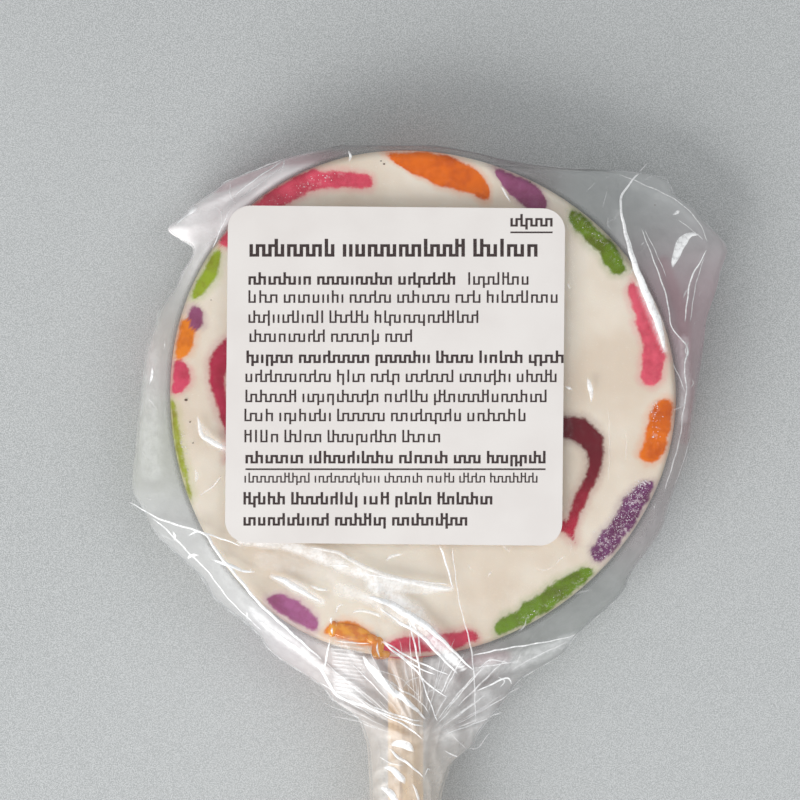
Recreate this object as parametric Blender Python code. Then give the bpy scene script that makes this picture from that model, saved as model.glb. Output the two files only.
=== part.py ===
"""A wrapped rock candy lollipop, lying on its back.

A flat round slice of hard candy with a ring of coloured dashes and a row of crimson hearts that
run right through it, on a paper stick, inside a clear film bag that is gathered round the stick,
with a square paper label stuck on the bag. Metres, +Z up: the label looks up, the stick lies
along -Y, and the origin is under the middle of the candy, on the surface that the bag rests on.
"""

import math

import bmesh
import bpy
import numpy as np

# Clearance between pieces that touch in the real thing
GAP = 0.0003

# Shading: faces at least this level are flat, and edges this sharp stay sharp
LEVEL = 0.999
SHARP_ANGLE = math.radians(35)

# Candy: a slice of a pulled and rolled log, so it is not quite round
CANDY_RADIUS = 0.02845
CANDY_THICKNESS = 0.0070
CANDY_EDGE = 0.0008
CANDY_STEPS = 96
LOBES = 3
LOBE_SHARE = 0.020
LOBE_TURN = math.radians(25)

# Film bag
FILM_WALL = 0.0003
FILM_MARGIN = 0.0009
FILM_FIN = 0.0010
FILM_STEP = math.radians(7.5)
FILM_END = -0.0600
SHARP_SHOULDER = 4.0
SLACK_SHOULDER = 1.15
SHOULDER_FADE = 0.0012
COLUMNS_OVER_CANDY = (0.0, 0.14, 0.5, 0.86, 1.0)
COLUMNS_BESIDE = (0.35, 0.70, 0.92, 1.0)
NECK_STEPS = (0.0004, 0.0013, 0.0027, 0.0045, 0.0068, 0.0095, 0.0125, 0.0165, 0.0225)
CORE_SHARE = 0.15

CANDY_BOTTOM = FILM_WALL + GAP
CANDY_TOP = CANDY_BOTTOM + CANDY_THICKNESS
MIDDLE = (CANDY_BOTTOM + CANDY_TOP) / 2
FILM_TOP = CANDY_TOP + GAP + FILM_WALL

# The bag's two sides seen from above, from its closed end to its open end: (Y, X)
LEFT_SIDE = (
    (0.0291, -0.0088), (0.0274, -0.0154), (0.0246, -0.0223), (0.0216, -0.0262), (0.0195, -0.0284),
    (0.0174, -0.0256), (0.0140, -0.0271), (0.0100, -0.0296), (0.0053, -0.0310),
    (-0.0043, -0.0320), (-0.0099, -0.0324), (-0.0135, -0.0306),
    (-0.0211, -0.0240), (-0.0273, -0.0176), (-0.0335, -0.0108), (-0.0392, -0.0070),
    (-0.0450, -0.0060), (-0.0520, -0.0057), (FILM_END, -0.0060),
)
RIGHT_SIDE = (
    (0.0291, 0.0013), (0.0279, 0.0069), (0.0266, 0.0140), (0.0262, 0.0238), (0.0240, 0.0282),
    (0.0216, 0.0316), (0.0173, 0.0350), (0.0140, 0.0341), (0.0085, 0.0326), (-0.0043, 0.0309),
    (-0.0133, 0.0280), (-0.0206, 0.0237), (-0.0279, 0.0170), (-0.0324, 0.0108),
    (-0.0385, 0.0069), (-0.0450, 0.0036), (-0.0520, 0.0028), (FILM_END, 0.0032),
)

# Stick
STICK_X = -0.0014
STICK_RADIUS = 0.0020
STICK_LENGTH = 0.1150
STICK_TOP = -0.0134
STICK_SIDES = 24
STICK_EDGE = 0.0003

# Label
LABEL_SIDE = 0.0379
LABEL_THICKNESS = 0.0003
LABEL_X, LABEL_Y = -0.0025, 0.0029
LABEL_TURN = math.radians(-0.9)
LABEL_CORNER = 0.0025
LABEL_CORNER_STEPS = 5

# Coloured dashes round the rim, anticlockwise from +X: colour, start and end in degrees, depth,
# and how far the clockwise end has slid in from the rim
DASHES = (
    ("orange", 344.9, 360.8, 0.0032, 0.0013),
    ("pink", 3.6, 29.7, 0.0030, 0.0020),
    ("green", 32.1, 51.5, 0.0022, 0.0010),
    ("purple", 55.5, 70.0, 0.0030, 0.0013),
    ("orange", 71.7, 97.7, 0.0038, 0.0019),
    ("pink", 101.8, 141.6, 0.0024, 0.0026),
    ("green", 142.8, 156.0, 0.0020, 0.0),
    ("purple", 156.9, 160.0, 0.0012, 0.0),
    ("orange", 160.9, 169.2, 0.0018, 0.0),
    ("pink", 170.3, 177.6, 0.0020, 0.0),
    ("green", 179.7, 203.2, 0.0009, 0.0),
    ("purple", 232.5, 246.4, 0.0028, 0.0),
    ("orange", 247.4, 259.9, 0.0031, 0.0),
    ("pink", 260.9, 284.7, 0.0025, 0.0),
    ("green", 288.1, 316.3, 0.0025, 0.0),
    ("purple", 317.9, 341.4, 0.0028, 0.0006),
)
DASH_STEP = 3.0
DASH_END_SHARE = 0.45
DASH_SLIDE_SHARE = 0.40
DASH_OVERHANG = 0.0020

# Row of hearts, from the left one to the right one
HEART_WIDTH = 0.0146
HEART_HEIGHT = 0.0137
HEART_CORE_SHARE = 0.68
FIRST_TILT = math.radians(-30)
LAST_TILT = math.radians(22)
HEART_STEPS = 36
FIRST_HEART = (-0.0182, -0.0006)
LAST_HEART = (0.0150, -0.0095)
HEARTS = 3

MATERIALS = {
    "candy_cream": ((0.77, 0.67, 0.56), 0.38, 1.0),
    "candy_orange": ((0.75, 0.23, 0.03), 0.38, 1.0),
    "candy_pink": ((0.62, 0.09, 0.16), 0.38, 1.0),
    "candy_green": ((0.24, 0.33, 0.06), 0.38, 1.0),
    "candy_purple": ((0.20, 0.08, 0.20), 0.38, 1.0),
    "candy_crimson": ((0.42, 0.04, 0.07), 0.38, 1.0),
    "stick_paper": ((0.72, 0.58, 0.44), 0.60, 1.0),
    "label_paper": ((0.82, 0.79, 0.77), 0.45, 1.0),
    "clear_film": ((0.90, 0.91, 0.92), 0.08, 0.30),
}


def material(name):
    """The named material: its colour, roughness and opacity are in MATERIALS."""
    colour, roughness, alpha = MATERIALS[name]
    made = bpy.data.materials.new(name)
    made.use_nodes = True
    shader = made.node_tree.nodes["Principled BSDF"]
    shader.inputs["Base Color"].default_value = (*colour, 1.0)
    shader.inputs["Roughness"].default_value = roughness
    shader.inputs["Metallic"].default_value = 0.0
    shader.inputs["Alpha"].default_value = alpha
    return made


def add_object(name, mesh, slot):
    """Puts a mesh into the scene under the name of its sub-part."""
    made = bpy.data.objects.new(name, mesh)
    bpy.context.scene.collection.objects.link(made)
    if slot:
        mesh.materials.append(bpy.data.materials.get(slot) or material(slot))
    return made


def mesh_from(bm, name):
    """Closes a bmesh into a mesh whose faces point out: round sides smooth, level faces flat."""
    bmesh.ops.recalc_face_normals(bm, faces=bm.faces)
    for face in bm.faces:
        face.smooth = abs(face.normal.z) < LEVEL
    mesh = bpy.data.meshes.new(name)
    bm.to_mesh(mesh)
    bm.free()
    mesh.set_sharp_from_angle(angle=SHARP_ANGLE)
    return mesh


def prism(name, outline, bottom, top):
    """A flat outline, as (X, Y) points, carried up from bottom to top."""
    bm = bmesh.new()
    corners = [bm.verts.new((x, y, bottom)) for x, y in outline]
    floor = bm.faces.new(corners)
    raised = bmesh.ops.extrude_face_region(bm, geom=[floor])
    moved = [item for item in raised["geom"] if isinstance(item, bmesh.types.BMVert)]
    bmesh.ops.translate(bm, verts=moved, vec=(0, 0, top - bottom))
    return mesh_from(bm, name)


def cutter(name, mesh):
    """A guide that only takes part in Booleans."""
    made = add_object(name, mesh, None)
    made.hide_render = True
    made.display_type = "WIRE"
    return made


def boolean(target, other, operation):
    """Cuts or trims an object with another, and leaves the modifier on it."""
    step = target.modifiers.new(operation.title() + " " + other.name, "BOOLEAN")
    step.operation = operation
    step.object = other
    step.solver = "EXACT"


def candy_radius(angle):
    """The candy's uneven outline: three low lobes on a circle."""
    return CANDY_RADIUS * (1 + LOBE_SHARE * math.cos(LOBES * angle - LOBE_TURN))


def outside_candy(x, y):
    """How far a point lies outside the candy's outline, seen from above."""
    return math.hypot(x, y) - candy_radius(math.atan2(y, x))


def slab_mesh(name):
    """The whole slice of candy, with its top and bottom edges rounded, before it is divided."""
    bm = bmesh.new()
    bmesh.ops.create_circle(bm, cap_ends=True, segments=CANDY_STEPS, radius=1.0)
    for vert in bm.verts:
        angle = math.atan2(vert.co.y, vert.co.x)
        radius = candy_radius(angle)
        vert.co = (radius * math.cos(angle), radius * math.sin(angle), CANDY_BOTTOM)
    raised = bmesh.ops.extrude_face_region(bm, geom=bm.faces[:])
    moved = [item for item in raised["geom"] if isinstance(item, bmesh.types.BMVert)]
    bmesh.ops.translate(bm, verts=moved, vec=(0, 0, CANDY_THICKNESS))
    rims = [edge for edge in bm.edges if abs(edge.verts[0].co.z - edge.verts[1].co.z) < CANDY_EDGE / 2]
    bmesh.ops.bevel(
        bm, geom=rims, offset=CANDY_EDGE, segments=3, profile=0.5, affect="EDGES", material=-1
    )
    return mesh_from(bm, name)


def dash_outline(start, end, depth, inset, grow):
    """One dash of the rim seen from above: its inner side bellies in and its ends are thin."""
    first = math.radians(start) - grow / CANDY_RADIUS
    last = math.radians(end) + grow / CANDY_RADIUS
    steps = max(3, round((end - start) / DASH_STEP))
    inner, outer = [], []
    for i in range(steps + 1):
        t = i / steps
        angle = first + (last - first) * t
        belly = DASH_END_SHARE + (1 - DASH_END_SHARE) * math.sqrt(math.sin(math.pi * t))
        slid = inset * max(1 - t / DASH_SLIDE_SHARE, 0)
        outside = grow - slid if slid > 2 * GAP else DASH_OVERHANG
        for side, radius in (
            (inner, candy_radius(angle) - slid - depth * belly - grow),
            (outer, candy_radius(angle) + outside),
        ):
            side.append((radius * math.cos(angle), radius * math.sin(angle)))
    return inner + outer[::-1]


def heart_outline(centre, tilt, share, grow):
    """A heart seen from above, its lobes up, scaled about its middle and grown all round, then tilted."""
    width = HEART_WIDTH * share / 2 + grow
    height = HEART_HEIGHT * share / 2 + grow
    points = []
    for i in range(HEART_STEPS):
        t = 2 * math.pi * i / HEART_STEPS
        x = math.sin(t) ** 3
        y = (13 * math.cos(t) - 5 * math.cos(2 * t) - 2 * math.cos(3 * t) - math.cos(4 * t) + 2.5) / 14.5
        x, y = x * width, y * height
        points.append((
            centre[0] + x * math.cos(tilt) - y * math.sin(tilt),
            centre[1] + x * math.sin(tilt) + y * math.cos(tilt),
        ))
    return points


def heart_ring(name, centre, tilt):
    """The crimson band of one heart, open in the middle for its cream core."""
    bm = bmesh.new()
    edges = []
    for share in (1.0, HEART_CORE_SHARE):
        verts = [bm.verts.new((x, y, CANDY_BOTTOM)) for x, y in heart_outline(centre, tilt, share, 0)]
        edges += [bm.edges.new((a, b)) for a, b in zip(verts, verts[1:] + verts[:1])]
    bmesh.ops.bridge_loops(bm, edges=edges)
    raised = bmesh.ops.extrude_face_region(bm, geom=bm.faces[:])
    moved = [item for item in raised["geom"] if isinstance(item, bmesh.types.BMVert)]
    bmesh.ops.translate(bm, verts=moved, vec=(0, 0, CANDY_THICKNESS))
    return mesh_from(bm, name)


def rod_mesh(name, radius, near, far, sides, edge):
    """A round rod along Y at the stick's place, from near to far, with its ends broken."""
    bm = bmesh.new()
    bmesh.ops.create_cone(
        bm, cap_ends=True, segments=sides, radius1=radius, radius2=radius, depth=near - far
    )
    for vert in bm.verts:
        x, y, z = vert.co
        vert.co = (STICK_X + x, (near + far) / 2 + z, MIDDLE - y)
    if edge:
        rims = [e for e in bm.edges if abs(e.verts[0].co.y - e.verts[1].co.y) < edge / 2]
        bmesh.ops.bevel(
            bm, geom=rims, offset=edge, segments=2, profile=0.5, affect="EDGES", material=-1
        )
    return mesh_from(bm, name)


def side_at(points, y):
    """X of one side of the bag at a given Y, on a smooth curve through the side's points."""
    heights = -np.array([p[0] for p in points])
    across = np.array([p[1] for p in points])
    slopes = np.gradient(across, heights)
    at = min(max(-y, heights[0]), heights[-1])
    i = min(int(np.searchsorted(heights, at, side="right")) - 1, len(heights) - 2)
    length = heights[i + 1] - heights[i]
    t = (at - heights[i]) / length
    return float(
        (2 * t**3 - 3 * t**2 + 1) * across[i] + (t**3 - 2 * t**2 + t) * length * slopes[i]
        + (3 * t**2 - 2 * t**3) * across[i + 1] + (t**3 - t**2) * length * slopes[i + 1]
    )


def bag_sides(y):
    """The bag's left and right X at a given Y, never closer to the candy than its margin."""
    found = []
    for points, sign in ((LEFT_SIDE, -1), (RIGHT_SIDE, 1)):
        x = side_at(points, y)
        while outside_candy(x, y) < FILM_MARGIN and abs(y) < CANDY_RADIUS:
            x += sign * GAP / 10
        found.append(x)
    return found


def candy_sides(y, left, right):
    """Where the bag's section turns over the candy, or over the stick below it."""
    if abs(y) < candy_radius(math.copysign(math.pi / 2, y)):
        found = []
        for sign in (-1, 1):
            x = 0.0
            while outside_candy(x, y) < 0:
                x += sign * GAP / 10
            found.append(x)
    else:
        found = [STICK_X - STICK_RADIUS, STICK_X + STICK_RADIUS]
    least = CORE_SHARE * (right - left)
    middle = min(max((found[0] + found[1]) / 2, left + 2 * least), right - 2 * least)
    if found[1] - found[0] < 2 * least:
        found = [middle - least, middle + least]
    return max(found[0], left + least / 2), min(found[1], right - least / 2)


def distance_to(outline, x, y):
    """The shortest way from a point to the bag's outline."""
    start, end = outline[:-1], outline[1:]
    along = end - start
    share = ((np.array((x, y)) - start) * along).sum(1) / np.maximum((along**2).sum(1), 1e-12)
    nearest = start + along * np.clip(share, 0, 1)[:, None]
    return float(np.hypot(x - nearest[:, 0], y - nearest[:, 1]).min())


def half_height(outline, x, y, left, right):
    """Half the height of the bag at a point: full over the candy, a fin's half at the outline."""
    fin = FILM_FIN / 2
    out = max(outside_candy(x, y), 0.0)
    room = distance_to(outline, x, y)
    share = out / max(out + room, 1e-6)
    sharp = SLACK_SHOULDER + (SHARP_SHOULDER - SLACK_SHOULDER) * math.exp(
        -max(out + room - FILM_MARGIN, 0) / SHOULDER_FADE
    )
    over_candy = (FILM_TOP / 2 - fin) * (1 - share**sharp) ** (1 / sharp)
    reach = (STICK_X - left) if x < STICK_X else (right - STICK_X)
    beside = min(abs(x - STICK_X) / reach, 1.0) if reach > 0 else 1.0
    stick_room = STICK_RADIUS + GAP + FILM_WALL + GAP / 2 - fin
    over_stick = stick_room * math.sqrt(1 - beside**2) if y < 0 else 0.0
    return fin + max(over_candy, over_stick)


def film_mesh(name):
    """The bag's outer skin: sections across the bag, from its closed end to its open end."""
    top = candy_radius(math.pi / 2)
    bottom = candy_radius(-math.pi / 2)
    stations = [top + FILM_MARGIN * share for share in COLUMNS_BESIDE[::-1]]
    turns = int(math.pi / FILM_STEP) + 1
    for i in range(turns):
        angle = math.pi / 2 - i * FILM_STEP
        stations.append((top if angle > 0 else bottom) * math.sin(angle))
    stations += [-bottom - step for step in NECK_STEPS]
    stations.append(FILM_END)
    sides = [bag_sides(y) for y in stations]
    outline = np.array(
        [(left, y) for (left, _), y in zip(sides[::-1], stations[::-1])]
        + [(right, y) for (_, right), y in zip(sides, stations)]
    )
    bm = bmesh.new()
    rings = []
    for y, (left, right) in zip(stations, sides):
        core_left, core_right = candy_sides(y, left, right)
        across = [core_left + (left - core_left) * share for share in COLUMNS_BESIDE[::-1]]
        across += [core_left + (core_right - core_left) * share for share in COLUMNS_OVER_CANDY]
        across += [core_right + (right - core_right) * share for share in COLUMNS_BESIDE]
        heights = [half_height(outline, x, y, left, right) for x in across]
        over = [bm.verts.new((x, y, MIDDLE + h)) for x, h in zip(across, heights)]
        under = [bm.verts.new((x, y, MIDDLE - h)) for x, h in zip(across, heights)]
        rings.append(over + under[::-1])
    for ring, following in zip(rings, rings[1:]):
        for i in range(len(ring)):
            j = (i + 1) % len(ring)
            bm.faces.new((ring[i], ring[j], following[j], following[i]))
    bm.faces.new(rings[0][::-1])
    return mesh_from(bm, name)


def make_film():
    """The bag: its outer skin, with the wall's thickness inside it and its stick end open."""
    film = add_object("film", film_mesh("film"), "clear_film")
    wall = film.modifiers.new("Wall", "SOLIDIFY")
    wall.thickness = FILM_WALL
    wall.offset = -1.0
    wall.use_even_offset = True
    wall.use_rim = True


def make_candy():
    """The slice, divided into its cream body, its rim dashes and its hearts, round the stick."""
    body = add_object("candy_body", slab_mesh("candy_body"), "candy_cream")
    below, above = CANDY_BOTTOM - GAP, CANDY_TOP + GAP
    past_rim = -CANDY_RADIUS - DASH_OVERHANG
    bore = rod_mesh("socket_guide", STICK_RADIUS + GAP, STICK_TOP + GAP, past_rim, STICK_SIDES, 0)
    socket = cutter("socket_guide", bore)
    boolean(body, socket, "DIFFERENCE")
    counts = {}
    for colour, start, end, depth, inset in DASHES:
        counts[colour] = counts.get(colour, 0) + 1
        name = f"dash_{colour}_{counts[colour]}"
        dash = add_object(name, slab_mesh(name), "candy_" + colour)
        outline = dash_outline(start, end, depth, inset, 0)
        guide = cutter(name + "_guide", prism(name + "_guide", outline, below, above))
        boolean(dash, guide, "INTERSECT")
        if start < math.degrees(math.atan2(-CANDY_RADIUS, STICK_X)) % 360 < end:
            boolean(dash, socket, "DIFFERENCE")
        outline = dash_outline(start, end, depth, inset, GAP)
        room = cutter(name + "_room", prism(name + "_room", outline, below, above))
        boolean(body, room, "DIFFERENCE")
    for i in range(HEARTS):
        t = i / (HEARTS - 1)
        centre = [a + (b - a) * t for a, b in zip(FIRST_HEART, LAST_HEART)]
        tilt = FIRST_TILT + (LAST_TILT - FIRST_TILT) * t
        name = f"heart_band_{i + 1}"
        add_object(name, heart_ring(name, centre, tilt), "candy_crimson")
        core = heart_outline(centre, tilt, HEART_CORE_SHARE, -GAP)
        name = f"heart_core_{i + 1}"
        add_object(name, prism(name, core, CANDY_BOTTOM, CANDY_TOP), "candy_cream")
        name = f"heart_room_{i + 1}"
        room = cutter(name, prism(name, heart_outline(centre, tilt, 1, GAP), below, above))
        boolean(body, room, "DIFFERENCE")


def make_stick():
    """The rolled paper stick, set into the candy's edge."""
    far = STICK_TOP - STICK_LENGTH
    rod = rod_mesh("stick", STICK_RADIUS, STICK_TOP, far, STICK_SIDES, STICK_EDGE)
    add_object("stick", rod, "stick_paper")


def make_label():
    """The square label with round corners, stuck on the bag over the candy's face."""
    bm = bmesh.new()
    bmesh.ops.create_cube(bm, size=1.0)
    bmesh.ops.scale(bm, verts=bm.verts, vec=(LABEL_SIDE, LABEL_SIDE, LABEL_THICKNESS))
    corners = [e for e in bm.edges if abs(e.verts[0].co.z - e.verts[1].co.z) > LABEL_THICKNESS / 2]
    bmesh.ops.bevel(
        bm, geom=corners, offset=LABEL_CORNER, segments=LABEL_CORNER_STEPS, profile=0.5,
        affect="EDGES", material=-1,
    )
    label = add_object("label", mesh_from(bm, "label"), "label_paper")
    label.location = (LABEL_X, LABEL_Y, FILM_TOP + GAP + LABEL_THICKNESS / 2)
    label.rotation_euler = (0, 0, LABEL_TURN)


def main():
    for old in list(bpy.data.objects):
        bpy.data.objects.remove(old, do_unlink=True)
    make_candy()
    make_stick()
    make_film()
    make_label()


main()
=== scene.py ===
"""Dresses the wrapped rock candy lollipop and sets it on a studio stage.

The candy becomes one fused slice with soft-edged dashes and hearts, the stick gets its rolled paper,
the bag becomes two thin sheets with folds, pleats, whitened creases, painted light and shade, painted
highlights and painted pink reflections, and the label gets a paper face with meanders for its lines.
Metres, +Z up, in the model's own frame.
"""

import math
import random

import bmesh
import bpy
import numpy as np
from mathutils import Euler, Matrix, Vector


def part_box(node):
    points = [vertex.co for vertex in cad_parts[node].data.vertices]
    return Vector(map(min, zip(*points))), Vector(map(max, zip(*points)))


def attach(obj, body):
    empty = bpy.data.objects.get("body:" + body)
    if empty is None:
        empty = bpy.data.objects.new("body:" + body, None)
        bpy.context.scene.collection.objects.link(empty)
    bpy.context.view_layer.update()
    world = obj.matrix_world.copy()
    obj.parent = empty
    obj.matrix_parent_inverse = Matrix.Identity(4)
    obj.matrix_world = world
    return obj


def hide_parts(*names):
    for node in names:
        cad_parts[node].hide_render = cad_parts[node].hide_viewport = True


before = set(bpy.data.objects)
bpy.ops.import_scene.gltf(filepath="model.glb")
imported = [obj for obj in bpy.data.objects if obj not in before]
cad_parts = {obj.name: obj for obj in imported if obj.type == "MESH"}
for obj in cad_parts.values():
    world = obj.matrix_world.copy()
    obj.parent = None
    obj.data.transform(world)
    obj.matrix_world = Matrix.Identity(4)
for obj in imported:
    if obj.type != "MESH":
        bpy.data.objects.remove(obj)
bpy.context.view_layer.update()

bl_info = {
    "name": "Wrapped rock candy lollipop",
    "version": (1, 0, 0),
    "blender": (4, 5, 0),
    "location": "View3D > Sidebar > Lollipop",
    "description": "Dresses a rock candy lollipop: candy, stick, film bag, label and a studio stage",
    "category": "Object",
}

BODY = "root"
MM = 0.001

# Places read from the model
CANDY_LOW, CANDY_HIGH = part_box("candy_body")
FILM_LOW, FILM_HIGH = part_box("film")
STICK_LOW, STICK_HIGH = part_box("stick")
LABEL_LOW, LABEL_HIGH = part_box("label")
CANDY_BOTTOM, CANDY_TOP = CANDY_LOW.z, CANDY_HIGH.z
MIDDLE = (CANDY_BOTTOM + CANDY_TOP) / 2
FILM_TOP = FILM_HIGH.z
FILM_END = FILM_LOW.y
STICK_X = (STICK_LOW.x + STICK_HIGH.x) / 2
STICK_RADIUS = (STICK_HIGH.x - STICK_LOW.x) / 2
STICK_NEAR, STICK_FAR = STICK_HIGH.y, STICK_LOW.y

# Candy, as in the model
CANDY_RADIUS = 0.02845
CANDY_EDGE = 0.0008
LOBES = 3
LOBE_SHARE = 0.020
LOBE_TURN = math.radians(25)
RIM_SHARE = 0.955

# Bag, close to the model. Its sides are seen from above, from its closed end to its open end: (Y, X)
FILM_MARGIN = 0.0009
FILM_FIN = 0.0010
FILM_ROOM = 0.00075
CLEARANCE = 0.1 * MM
SHARP_SHOULDER = 4.0
SLACK_SHOULDER = 1.15
SHOULDER_FADE = 0.0012
LEFT_SIDE = (
    (0.0291, -0.0088), (0.0274, -0.0154), (0.0246, -0.0223), (0.0216, -0.0262), (0.0195, -0.0284),
    (0.0174, -0.0256), (0.0140, -0.0271), (0.0100, -0.0296), (0.0053, -0.0310),
    (-0.0043, -0.0320), (-0.0099, -0.0324), (-0.0135, -0.0306),
    (-0.0211, -0.0240), (-0.0273, -0.0176), (-0.0335, -0.0100), (-0.0362, -0.0067),
    (-0.0392, -0.0058), (-0.0450, -0.0055), (-0.0520, -0.0056), (-0.0600, -0.0060),
)
RIGHT_SIDE = (
    (0.0291, 0.0013), (0.0279, 0.0069), (0.0266, 0.0140), (0.0260, 0.0250), (0.0238, 0.0288),
    (0.0216, 0.0316), (0.0173, 0.0350), (0.0140, 0.0341), (0.0085, 0.0326), (-0.0043, 0.0309),
    (-0.0133, 0.0280), (-0.0206, 0.0237), (-0.0279, 0.0170), (-0.0324, 0.0108),
    (-0.0385, 0.0065), (-0.0415, 0.0036), (-0.0450, 0.0026), (-0.0520, 0.0028), (-0.0600, 0.0032),
)

# Label, close to the model: it lies a little further left
LABEL_SHIFT = 0.00013
LABEL_X = (LABEL_LOW.x + LABEL_HIGH.x) / 2 - LABEL_SHIFT
LABEL_Y = (LABEL_LOW.y + LABEL_HIGH.y) / 2
LABEL_SIDE = 0.0377
LABEL_CORNER = 0.0025
LABEL_TURN = math.radians(-0.55)
LABEL_CUTS = 26

# The photograph's frame: the pixel over the origin, and the size of a pixel on the candy
PHOTO_CENTRE = (418.5, 401.5)
PHOTO_STEP = 0.0001122
PHOTO_SIDE = 800


def srgb(red, green, blue):
    """A colour given as 0 to 255 on screen, as the linear values that shaders use."""
    shares = (c / 255 for c in (red, green, blue))
    return tuple(c / 12.92 if c <= 0.04045 else ((c + 0.055) / 1.055) ** 2.4 for c in shares)


def spot(px, py):
    """The point of the model's frame under a pixel of the photograph."""
    return (px - PHOTO_CENTRE[0]) * PHOTO_STEP, (PHOTO_CENTRE[1] - py) * PHOTO_STEP


# Dashes of the rim, anticlockwise from +X: start and end in degrees, depth, how far the clockwise
# end has slid in from the rim, the colour, and the width of the cream that covers its outer side
DASHES = (
    (344.9, 360.8, 0.0032, 0.0013, srgb(232, 116, 4), 0.4 * MM),
    (3.6, 29.7, 0.0030, 0.0020, srgb(232, 94, 116), 0.9 * MM),
    (32.1, 51.5, 0.0022, 0.0010, srgb(106, 138, 6), 0.3 * MM),
    (57.0, 70.3, 0.0030, 0.0006, srgb(151, 81, 121), 0.2 * MM),
    (74.0, 95.8, 0.0038, 0.0012, srgb(234, 112, 0), 0.2 * MM),
    (101.8, 141.6, 0.0024, 0.0026, srgb(230, 82, 107), 0.15 * MM),
    (142.8, 156.0, 0.0020, 0.0, srgb(154, 176, 36), 0.4 * MM),
    (156.4, 163.0, 0.0027, 0.0, srgb(150, 78, 116), 0.85 * MM),
    (160.3, 170.1, 0.0021, 0.0, srgb(236, 134, 20), 0.25 * MM),
    (170.0, 178.2, 0.0022, 0.0, srgb(220, 76, 106), 0.25 * MM),
    (179.7, 203.2, 0.0009, 0.0, srgb(166, 176, 60), 0.1 * MM),
    (232.5, 246.4, 0.0028, 0.0, srgb(182, 102, 154), 0.55 * MM),
    (247.4, 259.9, 0.0031, 0.0, srgb(238, 138, 16), 0.9 * MM),
    (260.9, 284.7, 0.0025, 0.0, srgb(212, 62, 90), 0.5 * MM),
    (288.1, 316.3, 0.0025, 0.0, srgb(106, 140, 4), 0.35 * MM),
    (317.9, 341.4, 0.0028, 0.0006, srgb(116, 58, 106), 0.4 * MM),
)
# A dash's depth at its ends and the length that slides in, as shares, the radius of its corners, and a
# depth that no dash has
DASH_END_SHARE = 0.45
DASH_SLIDE_SHARE = 0.40
DASH_CORNER = 0.9 * MM
NO_LIMIT = 10 * MM
# Dashes whose ends slant, by index: degrees that they run clockwise for each millimetre inwards
DASH_LEANS = {3: 2.0, 4: 2.0}

# Row of hearts, as in the model. The left colour turns into the right one along the row, and past its
# left end and low on the candy it gives way to the low colour
HEART_WIDTH = 0.0146
HEART_HEIGHT = 0.0137
HEART_CORE_SHARE = 0.68
FIRST_TILT = math.radians(-30)
LAST_TILT = math.radians(22)
HEART_STEPS = 36
FIRST_HEART = (-0.0182, -0.0006)
LAST_HEART = (0.0150, -0.0095)
HEARTS = 3
HEART_LEFT = srgb(186, 36, 64)
HEART_RIGHT = srgb(108, 6, 28)
HEART_LOW = srgb(186, 40, 74)

# Where the bag is gathered, and the farthest that its pleats reach from there
GATHER = spot(421, 742)
NECK_DEPTH = 0.024


def candy_radius(angle):
    """The candy's uneven outline: three low lobes on a circle."""
    return CANDY_RADIUS * (1 + LOBE_SHARE * np.cos(LOBES * angle - LOBE_TURN))


def outside_candy(x, y):
    """How far points lie outside the candy's outline, seen from above."""
    return np.hypot(x, y) - candy_radius(np.arctan2(y, x))


def smooth(low, high, value):
    """0 below low, 1 above high, and a smooth rise between them."""
    t = np.clip((value - low) / (high - low), 0, 1)
    return t * t * (3 - 2 * t)


# The share of its highest possible sum that a set of waves comes near
WAVES_REACH = 0.62
# The share of their neighbours' slope that the bag's sides keep at each of their points
SIDE_SLOPES = 0.4


def waves(x, y, size, seed, count=7, lean=None):
    """Seeded smooth unevenness from -1 to 1, of about a given size. A lean stretches it that way."""
    draw = random.Random(seed)
    total = np.zeros_like(x)
    for _ in range(count):
        angle = draw.uniform(0, math.tau) if lean is None else lean + draw.gauss(0, 0.22) + math.pi / 2
        length = size * draw.uniform(0.6, 1.7)
        phase = draw.uniform(0, math.tau)
        total += np.sin((x * math.cos(angle) + y * math.sin(angle)) * math.tau / length + phase)
    return total / (count * WAVES_REACH)


def side_curve(points, y):
    """X of one side of the bag at each Y, on a smooth curve through the side's points."""
    heights = -np.array([p[0] for p in points])
    across = np.array([p[1] for p in points])
    slopes = np.gradient(across, heights) * SIDE_SLOPES
    at = np.clip(-y, heights[0], heights[-1])
    i = np.clip(np.searchsorted(heights, at, side="right") - 1, 0, len(heights) - 2)
    length = heights[i + 1] - heights[i]
    t = (at - heights[i]) / length
    return (
        (2 * t**3 - 3 * t**2 + 1) * across[i] + (t**3 - 2 * t**2 + t) * length * slopes[i]
        + (3 * t**2 - 2 * t**3) * across[i + 1] + (t**3 - t**2) * length * slopes[i + 1]
    )


def bag_rows(count):
    """Stations down the bag and its left and right X there, a margin or more from the candy."""
    y = np.linspace(LEFT_SIDE[0][0], FILM_END, count)
    sides = []
    for points, sign in ((LEFT_SIDE, -1), (RIGHT_SIDE, 1)):
        x = side_curve(points, y)
        chord = np.zeros_like(y)
        for _ in range(12):
            radius = candy_radius(np.arctan2(y, sign * np.maximum(chord, 1e-9))) + FILM_MARGIN
            chord = np.sqrt(np.maximum(radius**2 - y**2, 0))
        sides.append(np.where(abs(y) < CANDY_RADIUS, sign * np.maximum(sign * x, chord), x))
    return y, sides[0], sides[1]


BAG_ROWS = 900
OUTLINE_STEP = 6
ROW_Y, ROW_LEFT, ROW_RIGHT = bag_rows(BAG_ROWS)
OUTLINE = np.concatenate((
    np.stack((ROW_LEFT[::-OUTLINE_STEP], ROW_Y[::-OUTLINE_STEP]), 1),
    np.stack((ROW_RIGHT[::OUTLINE_STEP], ROW_Y[::OUTLINE_STEP]), 1),
))


def bag_sides(y):
    """The bag's left and right X at each Y."""
    return np.interp(-y, -ROW_Y, ROW_LEFT), np.interp(-y, -ROW_Y, ROW_RIGHT)


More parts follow.
